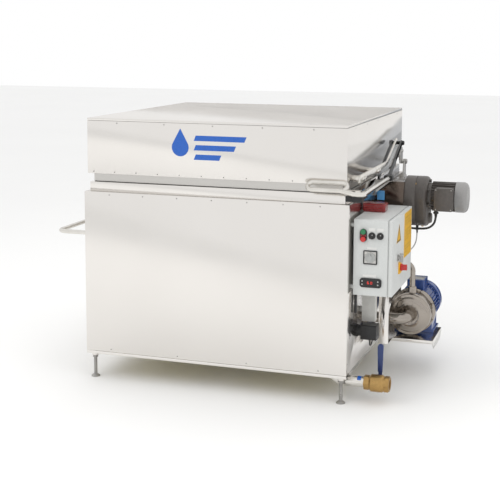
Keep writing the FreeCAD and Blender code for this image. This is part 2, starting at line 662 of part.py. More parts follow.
def selector_knob(x):
    start = CAB_Y0 - 4.3
    disc = rod((x, start - 4, SELECTOR_Z), Y_AXIS, 12.5, 4)
    grip = rounded_box(x - 4, x + 4, start - 15, start - 3, SELECTOR_Z - 12, SELECTOR_Z + 12,
                       Y_AXIS, 3)
    knob = fuse(disc, grip)
    turned = knob.copy()
    turned.rotate(V(x, 0, SELECTOR_Z), Y_AXIS, 35)
    return [turned]


def switchgear():
    """Mounting plate behind the door with contactors, breakers and terminals."""
    plate_x0, plate_x1 = CAB_X0 + SHEET, CAB_X0 + SHEET + 8
    plate = box(plate_x0, plate_x1, CAB_Y0 + 24, CAB_Y1 - 24, CAB_Z0 + 14, CAB_Z1 - 15)
    contactors = [box(plate_x1, plate_x1 + 75, y, y + 46, 676, 756)
                  for y in (-530, -472, -414, -356)]
    timers = [box(plate_x1, plate_x1 + 61, y, y + 44, 566, 646) for y in (-530, -468, -406)]
    breakers = box(plate_x1, plate_x1 + 59, -290, -215, 566, 648)
    terminals = box(plate_x1, plate_x1 + 37, -520, -249, 516, 560)
    return [plate, breakers, terminals] + contactors + timers


def timer_dial():
    start = CAB_Y0 - 3.3
    disc = rod((TIMER_X, start - 5, TIMER_Z), Y_AXIS, 22, 5)
    knob = rod((TIMER_X, start - 14, TIMER_Z), Y_AXIS, 10, 10)
    pointer = box(TIMER_X - 2, TIMER_X + 2, start - 16, start - 4, TIMER_Z + 2, TIMER_Z + 17)
    return [fuse(disc, knob, pointer)]


def label_plates():
    face = CAB_Y0
    plates = [box(x - 14, x + 14, face - 1, face, 766, 780) for x in SELECTORS_X]
    plates.append(box(694, 735, face - 1, face, 687, 697))
    plates.append(box(677, 735, face - 1, face, 567, 578))
    return plates


def signal_lamp():
    base = rounded_box(626, 724, -370, -308, CAB_Z1, CAB_Z1 + 5, Z_AXIS, 6)
    lens = rounded_box(624, 726, -372, -306, CAB_Z1 + 5, CAB_Z1 + 38, Z_AXIS, 8)
    return [fuse(base, lens)]


def cable_duct():
    return [box(DUCT_X0, DUCT_X1, DUCT_Y0, DUCT_Y1, DUCT_Z0, CAB_Z0),
            box(BODY_X, DUCT_X0, DUCT_Y0 + 10, DUCT_Y1 - 10, DUCT_Z0 + 40, DUCT_Z0 + 60)]


def gland(point, axis, radius, length):
    nut = hexagon(point, axis, 2 * radius * 1.12, length * 0.45)
    neck = rod(point, axis, radius * 0.8, length)
    return fuse(nut, neck)


def cable_glands():
    pieces = [gland((690, CAB_Y1, 700), Y_AXIS, 11, 14),
              gland((766, CAB_Y1, 592), Y_AXIS, 8, 14),
              gland((720, CAB_Y1, 540), Y_AXIS, 11, 14)]
    mains = pipe_piece((MAINS_X, MAINS_Y, CAB_Z0 - 22), Z_AXIS, 13, 8, 22)
    pieces.append(mains)
    lower = gland((0, 0, 0), Z_AXIS, 11, 18)
    lower.translate(V(905, -88, 777))
    pieces.append(lower)
    sensor = gland((0, 0, 0), Z_AXIS, 8, 20.5)
    sensor.translate(V(805, 0, 682))
    pieces.append(sensor)
    conduit = rod((628, -495, 385), Z_AXIS, 6, CAB_Z0 - 385)
    pieces.append(conduit.cut(box(CAB_X0, CAB_X1, -500, -490, CAB_Z0, CAB_Z1)))
    return pieces


def heater():
    """Screwed immersion heater: head outside, hairpin element inside the tank."""
    head = fuse(rod((BODY_X + 8, HEATER_Y, HEATER_Z), X_AXIS, 24, 20),
                rounded_box(BODY_X + 22, BODY_X + 92, HEATER_Y - 33, HEATER_Y + 33,
                            HEATER_Z - 33, HEATER_Z + 33, X_AXIS, 8),
                hexagon((BODY_X, HEATER_Y, HEATER_Z), X_AXIS, 56, 8))
    neck = rod((TANK_X - 12, HEATER_Y, HEATER_Z), X_AXIS, 16, BODY_X - TANK_X + 12)
    relief = rod((676, HEATER_Y, 245), Z_AXIS, 7, 14)
    body = fuse(head, neck, relief)
    pieces = [body]
    y, x_in, x_run, y_far = HEATER_Y, TANK_X - 12, 500.0, -262.0
    high, low = HEATER_Z + 12, HEATER_Z - 12
    element = swept_rod([(x_in, y, high), (x_run, y, high), (x_run, y_far, high),
                         (x_run, y_far, low), (x_run, y, low), (x_in, y, low)],
                        [20, 11.5, 11.5, 20], 4)
    pieces.append(element)
    return pieces


# --- basket drive ----------------------------------------------------------------
def drive_console():
    y, low, high, wall = 62.0, 780.0, 914.0, 3.0
    shell = cut(box(BODY_X, CONSOLE_X, -y, y, low, high),
                box(BODY_X, CONSOLE_X - wall - 6, -y + wall, y - wall, low + wall,
                    high - wall),
                rod((CONSOLE_X - 20, 0, DRIVE_Z), X_AXIS, SHAFT_R + 3, 30))
    return [shell]


def gear_housing():
    """Two-part case of the helical gear unit, with its cover and flange bolts."""
    mid = (CONSOLE_X + GEAR_X1) / 2
    upper, lower = (DRIVE_Z, 92.0), (775.0, 72.0)
    slim_upper, slim_lower = (DRIVE_Z, 88.5), (775.0, 68.5)
    first = hull_of_circles(0, upper, lower, X_AXIS, CONSOLE_X, mid - 2)
    seam = hull_of_circles(0, slim_upper, slim_lower, X_AXIS, mid - 2, mid + 2)
    second = hull_of_circles(0, upper, lower, X_AXIS, mid + 2, GEAR_X1)
    bore = rod((CONSOLE_X - 1, 0, DRIVE_Z), X_AXIS, SHAFT_R + RUN, 46)
    case = fuse(first, seam, second).cut(bore)
    outline = {CONSOLE_X: 7.0, GEAR_X1: 17.0}
    for x, radius in outline.items():
        rim = [edge for edge in case.Edges if abs(edge.CenterOfMass.x - x) < 0.01
               and abs(edge.CenterOfMass.y) + abs(edge.CenterOfMass.z - DRIVE_Z) > 30]
        case = case.makeFillet(radius, rim)
    adaptor = rod((GEAR_X1, 0, DRIVE_Z), X_AXIS, 62, 15)
    cap = Part.makeCone(28, 22, 12, V(GEAR_X1, 0, 742), X_AXIS)
    bolts = []
    for index in range(6):
        angle = math.radians(60 * index + 30)
        bolts.append(hexagon((GEAR_X1 + 0.2, 72 * math.cos(angle), DRIVE_Z + 72 * math.sin(angle)),
                             X_AXIS, 15, 8))
    bolts = [bolt for bolt in bolts if bolt.CenterOfMass.z > DRIVE_Z - 60]
    return [fuse(case, adaptor, cap, *bolts)]


def drive_motor():
    frame = finned_barrel((GEAR_X1 + 15, 0, DRIVE_Z), X_AXIS, 61, 69, MOTOR_X1 - GEAR_X1 - 15, 28)
    terminal = rounded_box(901, MOTOR_X1 - 3, -112, -56, 795, 897, Y_AXIS, 6)
    lid = rounded_box(899, MOTOR_X1 - 1, -118, -112, 793, 899, Y_AXIS, 7)
    return [fuse(frame, terminal), lid]


def drive_fan_cover():
    length = FAN_X1 - MOTOR_X1
    cover = rod((MOTOR_X1, 0, DRIVE_Z), X_AXIS, 71, length)
    rim = [edge for edge in cover.Edges if abs(edge.CenterOfMass.x - FAN_X1) < 0.01]
    cover = cover.makeFillet(22, rim)
    cover = cover.cut(rod((MOTOR_X1 - 1, 0, DRIVE_Z), X_AXIS, 67, 26))
    slots = []
    for ring, count in ((18, 8), (32, 14), (46, 20)):
        for index in range(count):
            slot = Part.makeCylinder(2.6, 40, V(FAN_X1 - 30, 0, DRIVE_Z + ring), X_AXIS)
            slot.rotate(V(0, 0, DRIVE_Z), X_AXIS, 360.0 * index / count)
            slots.append(slot)
    return [cover.cut(Part.makeCompound(slots))]


def drive_shaft():
    """Output shaft with the friction wheel that turns the basket."""
    shaft = rod((448, 0, DRIVE_Z), X_AXIS, SHAFT_R, 347)
    hub = rod((450, 0, DRIVE_Z), X_AXIS, 24, 34)
    wheel = rod((WHEEL_X0, 0, DRIVE_Z), X_AXIS, WHEEL_R, WHEEL_X1 - WHEEL_X0)
    return [fuse(shaft, hub, wheel)]


def bearings():
    """Shaft bearings, and the post that the basket turns on."""
    pieces = []
    for x0, x1 in ((520, TANK_X - TANK_WALL), (BODY_X + 4, BODY_X + 34)):
        block = rod((x0, 0, DRIVE_Z), X_AXIS, 30, x1 - x0)
        pieces.append(block.cut(rod((x0 - 1, 0, DRIVE_Z), X_AXIS, SHAFT_R + RUN, x1 - x0 + 2)))
    post = fuse(rod((0, 0, TANK_FLOOR + TANK_WALL), Z_AXIS, 60, 6),
                rod((0, 0, TANK_FLOOR + TANK_WALL), Z_AXIS, PIVOT_R, 92),
                rod((0, 0, TANK_FLOOR + TANK_WALL), Z_AXIS, 34, 62))
    pieces.append(post)
    return pieces


# --- basket ----------------------------------------------------------------------
def basket_frame():
    """Rim that runs on the drive wheel, uprights, hub and spokes."""
    rim = pipe_piece((0, 0, BASKET_RIM_Z), Z_AXIS, BASKET_RIM_R, BASKET_R - 8,
                     BASKET_TOP - BASKET_RIM_Z)
    hub = pipe_piece((0, 0, 230), Z_AXIS, 42, PIVOT_R + RUN, 26)
    foot_ring = pipe_piece((0, 0, 231), Z_AXIS, BASKET_R + 2, BASKET_R - 28, 13)
    pieces = [rim, hub, foot_ring]
    for index in range(6):
        spoke = box(36, BASKET_R - 20, -12, 12, 232.5, 242.5)
        spoke.rotate(V(0, 0, 0), Z_AXIS, 60 * index)
        pieces.append(spoke)
    for index in range(12):
        upright = box(BASKET_R - 10, BASKET_R - 2.5, -12, 12, 240, BASKET_TOP - 2)
        upright.rotate(V(0, 0, 0), Z_AXIS, 30 * index + 15)
        pieces.append(upright)
    return [pieces[0].multiFuse(pieces[1:])]


def basket_mesh():
    """Drum wall and floor with windows between the wires."""
    wall = pipe_piece((0, 0, BASKET_FLOOR_Z + 0.2), Z_AXIS, BASKET_R + 1.6, BASKET_R - 0.2 - 1.5,
                      BASKET_RIM_Z - BASKET_FLOOR_Z - 0.4)
    windows = []
    rows, columns = 7, 36
    step = (BASKET_RIM_Z - BASKET_FLOOR_Z - 30) / rows
    for row in range(rows):
        z0 = BASKET_FLOOR_Z + 22 + step * row
        for column in range(columns):
            window = box(BASKET_R - 12, BASKET_R + 12, -31, 31, z0, z0 + step - 14)
            window.rotate(V(0, 0, 0), Z_AXIS, 10 * column)
            windows.append(window)
    wall = wall.cut(Part.makeCompound(windows))
    floor = pipe_piece((0, 0, BASKET_FLOOR_Z + 0.2), Z_AXIS, BASKET_R - 12, 43, 2.5)
    holes = []
    for ring, count in ((90, 10), (150, 16), (210, 24), (270, 30), (330, 36), (390, 44)):
        for index in range(count):
            hole = rod((ring, 0, BASKET_FLOOR_Z - 1), Z_AXIS, 14, 6)
            hole.rotate(V(0, 0, 0), Z_AXIS, 360.0 * index / count)
            holes.append(hole)
    floor = floor.cut(Part.makeCompound(holes))
    return [wall, floor]


def wash_pipes():
    """Riser and bottom arm with their nozzles, and the suction strainer."""
    riser_x, riser_y = 530.0, -505.0
    line = swept_rod([(TANK_X - TANK_WALL, OUTLET_Y, OUTLET_TOP), (riser_x, OUTLET_Y, OUTLET_TOP),
                      (riser_x, riser_y, OUTLET_TOP)], [24], OUTLET_R)
    riser = rod((riser_x, riser_y, 205), Z_AXIS, OUTLET_R + 2, 655)
    towards = V(-riser_x, -riser_y, 0).normalize()
    start = V(riser_x, riser_y, 205)
    arm = Part.makeCylinder(11, 560, start, towards)
    ball = Part.makeSphere(17, start)
    pipes = [line, riser, arm, ball]
    for index in range(9):
        point = V(riser_x, riser_y, 270 + 68 * index)
        pipes.append(Part.makeCone(8, 4, 30, point, towards))
    for index in range(7):
        point = start + towards * (120 + 65 * index)
        pipes.append(Part.makeCone(7, 4, 19, point, Z_AXIS))
    strainer = pipe_piece((455, SUCTION_Y, PUMP_Z), X_AXIS, 44, 41, TANK_X - TANK_WALL - 455)
    cap = rod((452, SUCTION_Y, PUMP_Z), X_AXIS, 44, 3)
    slots = []
    for index in range(10):
        slot = box(465, 550, SUCTION_Y - 5, SUCTION_Y + 5, PUMP_Z + 30, PUMP_Z + 60)
        slot.rotate(V(0, SUCTION_Y, PUMP_Z), X_AXIS, 36 * index)
        slots.append(slot)
    return [fuse(*pipes), fuse(strainer, cap).cut(Part.makeCompound(slots))]


# --- pump ------------------------------------------------------------------------
def pump_shelf():
    """Folded shelf with the upright that props the cabinet."""
    x1, y, lip, drop = 911.0, 130.0, SHELF_TOP - 16, SHELF_TOP - 48
    top = box(BODY_X, x1, -y, y, SHELF_TOP - 3, SHELF_TOP)
    front = box(BODY_X, x1, -y, -y + 3, lip, SHELF_TOP)
    rear = box(BODY_X, x1, y - 3, y, lip, SHELF_TOP)
    right = prism([(-y, lip), (-y + 40, drop), (y - 40, drop), (y, lip), (y, SHELF_TOP),
                   (-y, SHELF_TOP)], X_AXIS, x1 - 3, x1)
    wall = box(BODY_X, BODY_X + 4, -y, y, PANEL_Z + 2, SHELF_TOP)
    post_x0, post_x1, post_y = 679.0, 725.0, -240.0
    foot = box(post_x0, post_x1, post_y, -y, SHELF_TOP - 3, SHELF_TOP)
    post = box(post_x0, post_x1, post_y, post_y + 3, SHELF_TOP - 3, CAB_Z0)
    return [fuse(top, front, rear, right, wall, foot, post)]


def pump_part(points):
    """Solid of revolution about the pump axis: (radius, y) points."""
    corners = [V(PUMP_X + r, y, PUMP_Z) for r, y in points]
    face = Part.Face(Part.makePolygon(corners + corners[:1]))
    return face.revolve(V(PUMP_X, 0, PUMP_Z), Y_AXIS, 360)


def pump_casing():
    shell = pump_part([(0, -112), (58, -112), (80, -108), (93, -100), (98, -88), (98, -40),
                       (94, -33), (94, -24), (0, -24)])
    cavity = pump_part([(0, -104), (74, -104), (90, -92), (92, -84), (92, -30), (0, -30)])
    outlet = rod((OUTLET_X, OUTLET_Y, PUMP_Z + 60), Z_AXIS, OUTLET_R + 5, 40)
    inlet = rod((PUMP_X, -125, PUMP_Z), Y_AXIS, SUCTION_R - 2, 30)
    outlet_bore = rod((OUTLET_X, OUTLET_Y, PUMP_Z + 60), Z_AXIS, OUTLET_R - 2, 60)
    shaft_bore = rod((PUMP_X, -40, PUMP_Z), Y_AXIS, SHAFT_R + RUN, 30)
    casing = fuse(shell, outlet).cut(Part.makeCompound([cavity, inlet, outlet_bore, shaft_bore]))
    ring = pump_part([(SHAFT_R + RUN, -24), (99, -24), (107, -20), (107, -4), (102, 0),
                      (SHAFT_R + RUN, 0)])
    bolts = []
    for index in range(8):
        angle = math.radians(45 * index + 22.5)
        bolts.append(hexagon((PUMP_X + 101.5 * math.cos(angle), -30,
                              PUMP_Z + 101.5 * math.sin(angle)), Y_AXIS, 13, 10))
    return [casing, fuse(ring, *bolts)]


def pump_motor():
    fan_start, fan_end = 198.0, 262.0
    frame = finned_barrel((PUMP_X, 0, PUMP_Z), Y_AXIS, 82, 92, fan_start, 32)
    terminal = rounded_box(PUMP_X - 38, PUMP_X + 44, 24, 132, PUMP_Z + 72, PUMP_Z + 138,
                           Z_AXIS, 6)
    foot = fuse(box(706, 892, 14, 160, SHELF_TOP, SHELF_TOP + 12),
                box(716, 756, 18, 154, SHELF_TOP, PUMP_Z - 20),
                box(842, 882, 18, 154, SHELF_TOP, PUMP_Z - 20))
    cover = rod((PUMP_X, fan_start, PUMP_Z), Y_AXIS, 96, fan_end - fan_start)
    rim = [edge for edge in cover.Edges if abs(edge.CenterOfMass.y - fan_end) < 0.01]
    cover = cover.makeFillet(14, rim)
    cavity = rod((PUMP_X, fan_start + 2, PUMP_Z), Y_AXIS, 86, 44)
    bore = rod((PUMP_X, -1, PUMP_Z), Y_AXIS, SHAFT_R + RUN, fan_start + 8)
    slots = []
    for ring, count in ((20, 8), (38, 14), (56, 20), (74, 26)):
        for index in range(count):
            slot = rod((PUMP_X + ring, fan_end - 30, PUMP_Z), Y_AXIS, 3, 40)
            slot.rotate(V(PUMP_X, 0, PUMP_Z), Y_AXIS, 360.0 * index / count)
            slots.append(slot)
    body = fuse(frame, terminal, foot, cover)
    return [body.cut(Part.makeCompound([cavity, bore])).cut(Part.makeCompound(slots))]


def pump_rotor():
    """Shaft with the impeller at its front and the cooling fan at its back."""
    shaft = rod((PUMP_X, -84, PUMP_Z), Y_AXIS, SHAFT_R, 308)
    back_plate = rod((PUMP_X, -52, PUMP_Z), Y_AXIS, 74, 5)
    pieces = [shaft, back_plate]
    for index in range(6):
        vane = box(PUMP_X + 16, PUMP_X + 70, -74, -50, PUMP_Z - 2, PUMP_Z + 2)
        vane.rotate(V(PUMP_X, 0, PUMP_Z), Y_AXIS, 60 * index)
        pieces.append(vane)
    hub = rod((PUMP_X, 206, PUMP_Z), Y_AXIS, 24, 18)
    pieces.append(hub)
    for index in range(8):
        blade = box(PUMP_X + 20, PUMP_X + 78, 208, 224, PUMP_Z - 1.5, PUMP_Z + 1.5)
        blade.rotate(V(PUMP_X, 0, PUMP_Z), Y_AXIS, 45 * index)
        pieces.append(blade)
    return [fuse(*pieces)]


def suction_pipe():
    pipe = swept_rod([(TANK_X - TANK_WALL, SUCTION_Y, PUMP_Z), (PUMP_X, SUCTION_Y, PUMP_Z),
                      (PUMP_X, -112, PUMP_Z)], [48], SUCTION_R)
    bore = swept_rod([(TANK_X - TANK_WALL - 1, SUCTION_Y, PUMP_Z), (PUMP_X, SUCTION_Y, PUMP_Z),
                      (PUMP_X, -111, PUMP_Z)], [48], SUCTION_R - 2)
    collar = pipe_piece((BODY_X, SUCTION_Y, PUMP_Z), X_AXIS, 44, SUCTION_R - 1, 4)
    return [fuse(pipe, collar).cut(bore)]


def discharge_pipe():
    start_z = PUMP_Z + 100
    pipe = swept_rod([(OUTLET_X, OUTLET_Y, start_z), (OUTLET_X, OUTLET_Y, OUTLET_TOP),
                      (TANK_X - TANK_WALL, OUTLET_Y, OUTLET_TOP)], [38], OUTLET_R)
    union = hexagon((0, 0, 0), Z_AXIS, 38, 26)
    union.translate(V(OUTLET_X, OUTLET_Y, start_z))
    collar = rod((BODY_X, OUTLET_Y, OUTLET_TOP), X_AXIS, 26, 4)
    return [fuse(pipe, union, collar)]


# --- drain -----------------------------------------------------------------------
def drain_pipe():
    inside = VALVE_X0 + 16
    pipe = swept_rod([(540, DRAIN_Y, TANK_FLOOR + TANK_WALL), (540, DRAIN_Y, DRAIN_Z),
                      (inside, DRAIN_Y, DRAIN_Z)], [46], DRAIN_R)
    bore = swept_rod([(540, DRAIN_Y, TANK_FLOOR + TANK_WALL + 1), (540, DRAIN_Y, DRAIN_Z),
                      (inside + 1, DRAIN_Y, DRAIN_Z)], [46], DRAIN_R - 3)
    return [pipe.cut(bore)]


def valve_part(points):
    """Solid of revolution about the valve's axis: (x, radius) points."""
    corners = [V(x, DRAIN_Y, DRAIN_Z + r) for x, r in points]
    face = Part.Face(Part.makePolygon(corners + corners[:1]))
    return face.revolve(V(0, DRAIN_Y, DRAIN_Z), X_AXIS, 360)


def drain_valve_body():
    """Forged body with hexagon ends, a chamber for the ball and a threaded outlet."""
    x0, x1, stem = VALVE_X0, VALVE_X1, VALVE_STEM_X
    barrel = valve_part([(x0 + 4, 0), (x0 + 4, 30), (stem - 34, 31), (stem - 26, 38),
                         (stem + 20, 38), (stem + 26, 35), (stem + 30, 32), (x1, 31), (x1, 0)])
    left_hex = hexagon((x0, DRAIN_Y, DRAIN_Z), X_AXIS, 66, 20)
    right_hex = hexagon((x1 - 22, DRAIN_Y, DRAIN_Z), X_AXIS, 72, 19)
    boss = rod((stem, DRAIN_Y + 20, DRAIN_Z), Y_AXIS, 15, 30)
    body = fuse(barrel, left_hex, right_hex, boss)
    hollow = valve_part([(x0 - 1, 0), (x0 - 1, DRAIN_R), (x0 + 16, DRAIN_R), (x0 + 16, 19),
                         (stem - 29, 19), (stem - 29, 29), (stem + 25, 29), (stem + 29, 19),
                         (x1 - OUTLET_THREAD_LENGTH, 19),
                         (x1 - OUTLET_THREAD_LENGTH, OUTLET_THREAD_R),
                         (x1 + 1, OUTLET_THREAD_R), (x1 + 1, 0)])
    stem_hole = rod((stem, DRAIN_Y + 10, DRAIN_Z), Y_AXIS, 7 + RUN, 60)
    return [body.cut(hollow).cut(stem_hole)]


def drain_ball():
    centre = (VALVE_STEM_X, DRAIN_Y, DRAIN_Z)
    ball = Part.makeSphere(28.6, V(*centre))
    stem = rod(centre, Y_AXIS, 7, 62)
    ball = fuse(ball, stem)
    return [ball.cut(rod((VALVE_STEM_X, DRAIN_Y, DRAIN_Z - 40), Z_AXIS, 18, 80))]


def drain_lever():
    """Flat lever on the stem, with a dipped sleeve that is round at its top."""
    x, y0, y1 = VALVE_STEM_X, DRAIN_Y + 51, DRAIN_Y + 56
    blade_r, sleeve_r, sleeve_foot = 8.0, 12.8, DRAIN_Z + 36
    tip_z = LEVER_TOP - sleeve_r
    blade = box(x - blade_r, x + blade_r, y0, y1, DRAIN_Z, tip_z)
    tip = rod((x, y0, tip_z), Y_AXIS, blade_r, y1 - y0)
    eye = rod((x, y0, DRAIN_Z), Y_AXIS, 16, y1 - y0)
    lever = fuse(blade, tip, eye).cut(rod((x, y0 - 1, DRAIN_Z), Y_AXIS, 7, 10))
    outline = [(x - 10, sleeve_foot), (x + 10, sleeve_foot), (x + sleeve_r, tip_z),
               (x - sleeve_r, tip_z)]
    sleeve = fuse(prism(outline, Y_AXIS, y0 - 3.5, y1 + 3.5),
                  rod((x, y0 - 3.5, tip_z), Y_AXIS, sleeve_r, y1 - y0 + 7))
    return [lever, sleeve.cut(fuse(blade, tip))]


NODES = {
    "outer_panels": outer_panels, "inner_tank": inner_tank, "tank_rim": tank_rim,
    "base_frame": base_frame, "levelling_feet": levelling_feet, "side_rail": side_rail,
    "panel_screws": panel_screws, "tank_insulation": tank_insulation,
    "side_brackets": side_brackets, "lid_switch": lid_switch,
    "lid_walls": lid_walls, "lid_top": lid_top, "lid_liner": lid_liner,
    "lid_gasket": lid_gasket, "lid_decal": lid_decal, "lid_arm": lid_arm,
    "lid_screws": lid_screws, "lid_hinges": lid_hinges,
    "fork_bars": fork_bars, "handle_tube": handle_tube,
    "cabinet_body": cabinet_body, "cabinet_door": cabinet_door, "door_labels": door_labels,
    "main_switch_plate": main_switch_plate, "main_switch_knob": main_switch_knob,
    "door_lock": door_lock, "control_bezels": control_bezels,
    "green_button": lambda: push_button(GREEN_Z), "red_button": lambda: push_button(RED_Z),
    "selector_knob_1": lambda: selector_knob(SELECTORS_X[0]),
    "selector_knob_2": lambda: selector_knob(SELECTORS_X[1]),
    "switchgear": switchgear, "timer_dial": timer_dial,
    "label_plates": label_plates, "signal_lamp": signal_lamp, "cable_duct": cable_duct,
    "cable_glands": cable_glands, "heater": heater,
    "drive_console": drive_console, "gear_housing": gear_housing, "drive_motor": drive_motor,
    "drive_fan_cover": drive_fan_cover, "drive_shaft": drive_shaft, "bearings": bearings,
    "basket_frame": basket_frame, "basket_mesh": basket_mesh, "wash_pipes": wash_pipes,
    "pump_shelf": pump_shelf, "pump_casing": pump_casing, "pump_motor": pump_motor,
    "pump_rotor": pump_rotor, "suction_pipe": suction_pipe, "discharge_pipe": discharge_pipe,
    "drain_pipe": drain_pipe, "drain_valve_body": drain_valve_body, "drain_ball": drain_ball,
    "drain_lever": drain_lever,
    "motor_cable": lambda: cable("motor_cable", MOTOR_CABLE, MOTOR_CABLE_D),
    "sensor_cable": lambda: cable("sensor_cable", SENSOR_CABLE, SENSOR_CABLE_D),
    "heater_cable": lambda: cable("heater_cable", HEATER_CABLE, HEATER_CABLE_D),
}


def place(shapes):
    solids = []
    for shape in shapes:
        solids.extend(shape.Solids)
    compound = Part.makeCompound(solids)
    compound.translate(ORIGIN * -1)
    return compound


def main():
    os.makedirs("parts", exist_ok=True)
    for name, build in NODES.items():
        shape = place(build())
        if not shape.isValid() or not shape.Solids:
            print("CHECK", name, "valid", shape.isValid(), "solids", len(shape.Solids))
        shape.exportStep("parts/" + name + ".step")


main()
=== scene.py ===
import math

import bmesh
import bpy
from mathutils import Matrix, Vector


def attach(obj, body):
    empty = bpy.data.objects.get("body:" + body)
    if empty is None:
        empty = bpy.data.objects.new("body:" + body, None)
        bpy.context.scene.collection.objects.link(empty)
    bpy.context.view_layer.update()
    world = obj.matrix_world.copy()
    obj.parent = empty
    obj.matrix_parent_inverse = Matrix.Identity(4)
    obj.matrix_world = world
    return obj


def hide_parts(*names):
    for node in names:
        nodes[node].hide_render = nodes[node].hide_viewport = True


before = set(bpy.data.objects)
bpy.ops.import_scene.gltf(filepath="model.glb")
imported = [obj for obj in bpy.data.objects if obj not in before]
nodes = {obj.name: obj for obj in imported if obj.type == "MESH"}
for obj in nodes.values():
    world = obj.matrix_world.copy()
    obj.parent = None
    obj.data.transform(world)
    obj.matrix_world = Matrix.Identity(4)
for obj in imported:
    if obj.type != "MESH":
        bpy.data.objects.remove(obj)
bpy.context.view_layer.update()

scene = bpy.context.scene

# Places below are in the tank's own millimetres, as on its drawing: X and Y from the
# tank's centre, Z from the floor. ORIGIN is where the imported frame's origin lies.
ORIGIN = Vector((129.0, -23.25, 0.0))
MM = 0.001


# Places that several pieces share, as on the drawing.
CABINET_FACE = -580.0
TIMER_X, TIMER_Z = 708.5, 653.0
PUMP_X, PUMP_Z = 796.0, 296.0
DRAIN_Y, DRAIN_Z = -540.0, 91.0


def at(x, y, z):
    """A place on the tank's drawing, in the frame's metres."""
    return (Vector((x, y, z)) - ORIGIN) * MM


# --- camera -----------------------------------------------------------------------
CAMERA_PLACE = at(1699.7, -5163.6, 1603.8)
CAMERA_YAW, CAMERA_PITCH, CAMERA_ROLL = 0.3257, 0.1278, 0.0039
LENS = 80.2


def make_camera():
    data = bpy.data.cameras.new("camera")
    data.lens, data.sensor_width = LENS, 36.0
    data.shift_x, data.shift_y = 0.0065, -0.15
    data.clip_start, data.clip_end = 0.1, 100.0
    camera = bpy.data.objects.new("camera", data)
    scene.collection.objects.link(camera)
    sin_yaw, cos_yaw = math.sin(CAMERA_YAW), math.cos(CAMERA_YAW)
    forward = Vector((-sin_yaw * math.cos(CAMERA_PITCH), cos_yaw * math.cos(CAMERA_PITCH),
                      -math.sin(CAMERA_PITCH)))
    level = Vector((cos_yaw, sin_yaw, 0))
    upward = level.cross(forward)
    right = level * math.cos(CAMERA_ROLL) + upward * math.sin(CAMERA_ROLL)
    up = upward * math.cos(CAMERA_ROLL) - level * math.sin(CAMERA_ROLL)
    turn = Matrix((right, up, -forward)).transposed().to_4x4()
    camera.matrix_world = Matrix.Translation(CAMERA_PLACE) @ turn
    scene.camera = camera


# --- materials --------------------------------------------------------------------
class Paint:
    """One material, with the few node chains that the finishes below share."""

    def __init__(self, name, colour, roughness, metallic=0.0, **sockets):
        self.material = bpy.data.materials.new(name)
        self.material.use_nodes = True
        self.tree = self.material.node_tree
        self.shader = self.tree.nodes["Principled BSDF"]
        self.colour = (*colour, 1.0)
        self.shader.inputs["Base Color"].default_value = self.colour
        self.shader.inputs["Roughness"].default_value = roughness
        self.shader.inputs["Metallic"].default_value = metallic
        for socket, value in sockets.items():
            self.shader.inputs[socket.replace("_", " ")].default_value = value
        self.place = self.node("ShaderNodeTexCoord").outputs["Object"]
        self.last_normal = None

    def node(self, kind, **settings):
        made = self.tree.nodes.new(kind)
        for key, value in settings.items():
            setattr(made, key, value)
        return made

    def link(self, source, target):
        self.tree.links.new(source, target)

    def stretched(self, scale):
        mapping = self.node("ShaderNodeMapping")
        mapping.inputs["Scale"].default_value = scale
        self.link(self.place, mapping.inputs["Vector"])
        return mapping.outputs["Vector"]

    def noise(self, scale=(1, 1, 1), size=5.0, detail=3.0, rough=0.5):
        texture = self.node("ShaderNodeTexNoise")
        texture.inputs["Scale"].default_value = size
        texture.inputs["Detail"].default_value = detail
        texture.inputs["Roughness"].default_value = rough
        self.link(self.stretched(scale), texture.inputs["Vector"])
        return texture.outputs["Fac"]

    def spread(self, factor, low, high, start=0.3, end=0.7):
        """The factor's range from start to end, mapped to low and high."""
        made = self.node("ShaderNodeMapRange")
        for socket, value in (("From Min", start), ("From Max", end), ("To Min", low),
                              ("To Max", high)):
            made.inputs[socket].default_value = value
        self.link(factor, made.inputs["Value"])
        return made.outputs["Result"]

    def tint(self, factor, other, amount=1.0):
        """Mixes another colour over the base colour where the factor is high."""
        mix = self.node("ShaderNodeMix", data_type="RGBA")
        mix.inputs["B"].default_value = (*other, 1.0)
        mix.inputs["A"].default_value = self.colour
        socket = self.shader.inputs["Base Color"]
        if socket.is_linked:
            self.link(socket.links[0].from_socket, mix.inputs["A"])
        self.link(self.spread(factor, 0.0, amount, 0.35, 0.7), mix.inputs["Factor"])
        self.link(mix.outputs["Result"], socket)
        return self

    def shine(self, factor, low, high):
        self.link(self.spread(factor, low, high), self.shader.inputs["Roughness"])
        return self

    def bump(self, factor, depth, strength=1.0):
        """Raises the surface by up to depth metres where the factor is high."""
        made = self.node("ShaderNodeBump")
        made.inputs["Distance"].default_value = depth
        made.inputs["Strength"].default_value = strength
        self.link(factor, made.inputs["Height"])
        if self.last_normal:
            self.link(self.last_normal, made.inputs["Normal"])
        self.last_normal = made.outputs["Normal"]
        self.link(self.last_normal, self.shader.inputs["Normal"])
        return self

    def waves(self, axis, size, detail=0.0):
        texture = self.node("ShaderNodeTexWave", wave_type="BANDS", bands_direction=axis)
        texture.inputs["Scale"].default_value = size
        texture.inputs["Distortion"].default_value = detail
        self.link(self.place, texture.inputs["Vector"])
        return texture.outputs["Fac"]


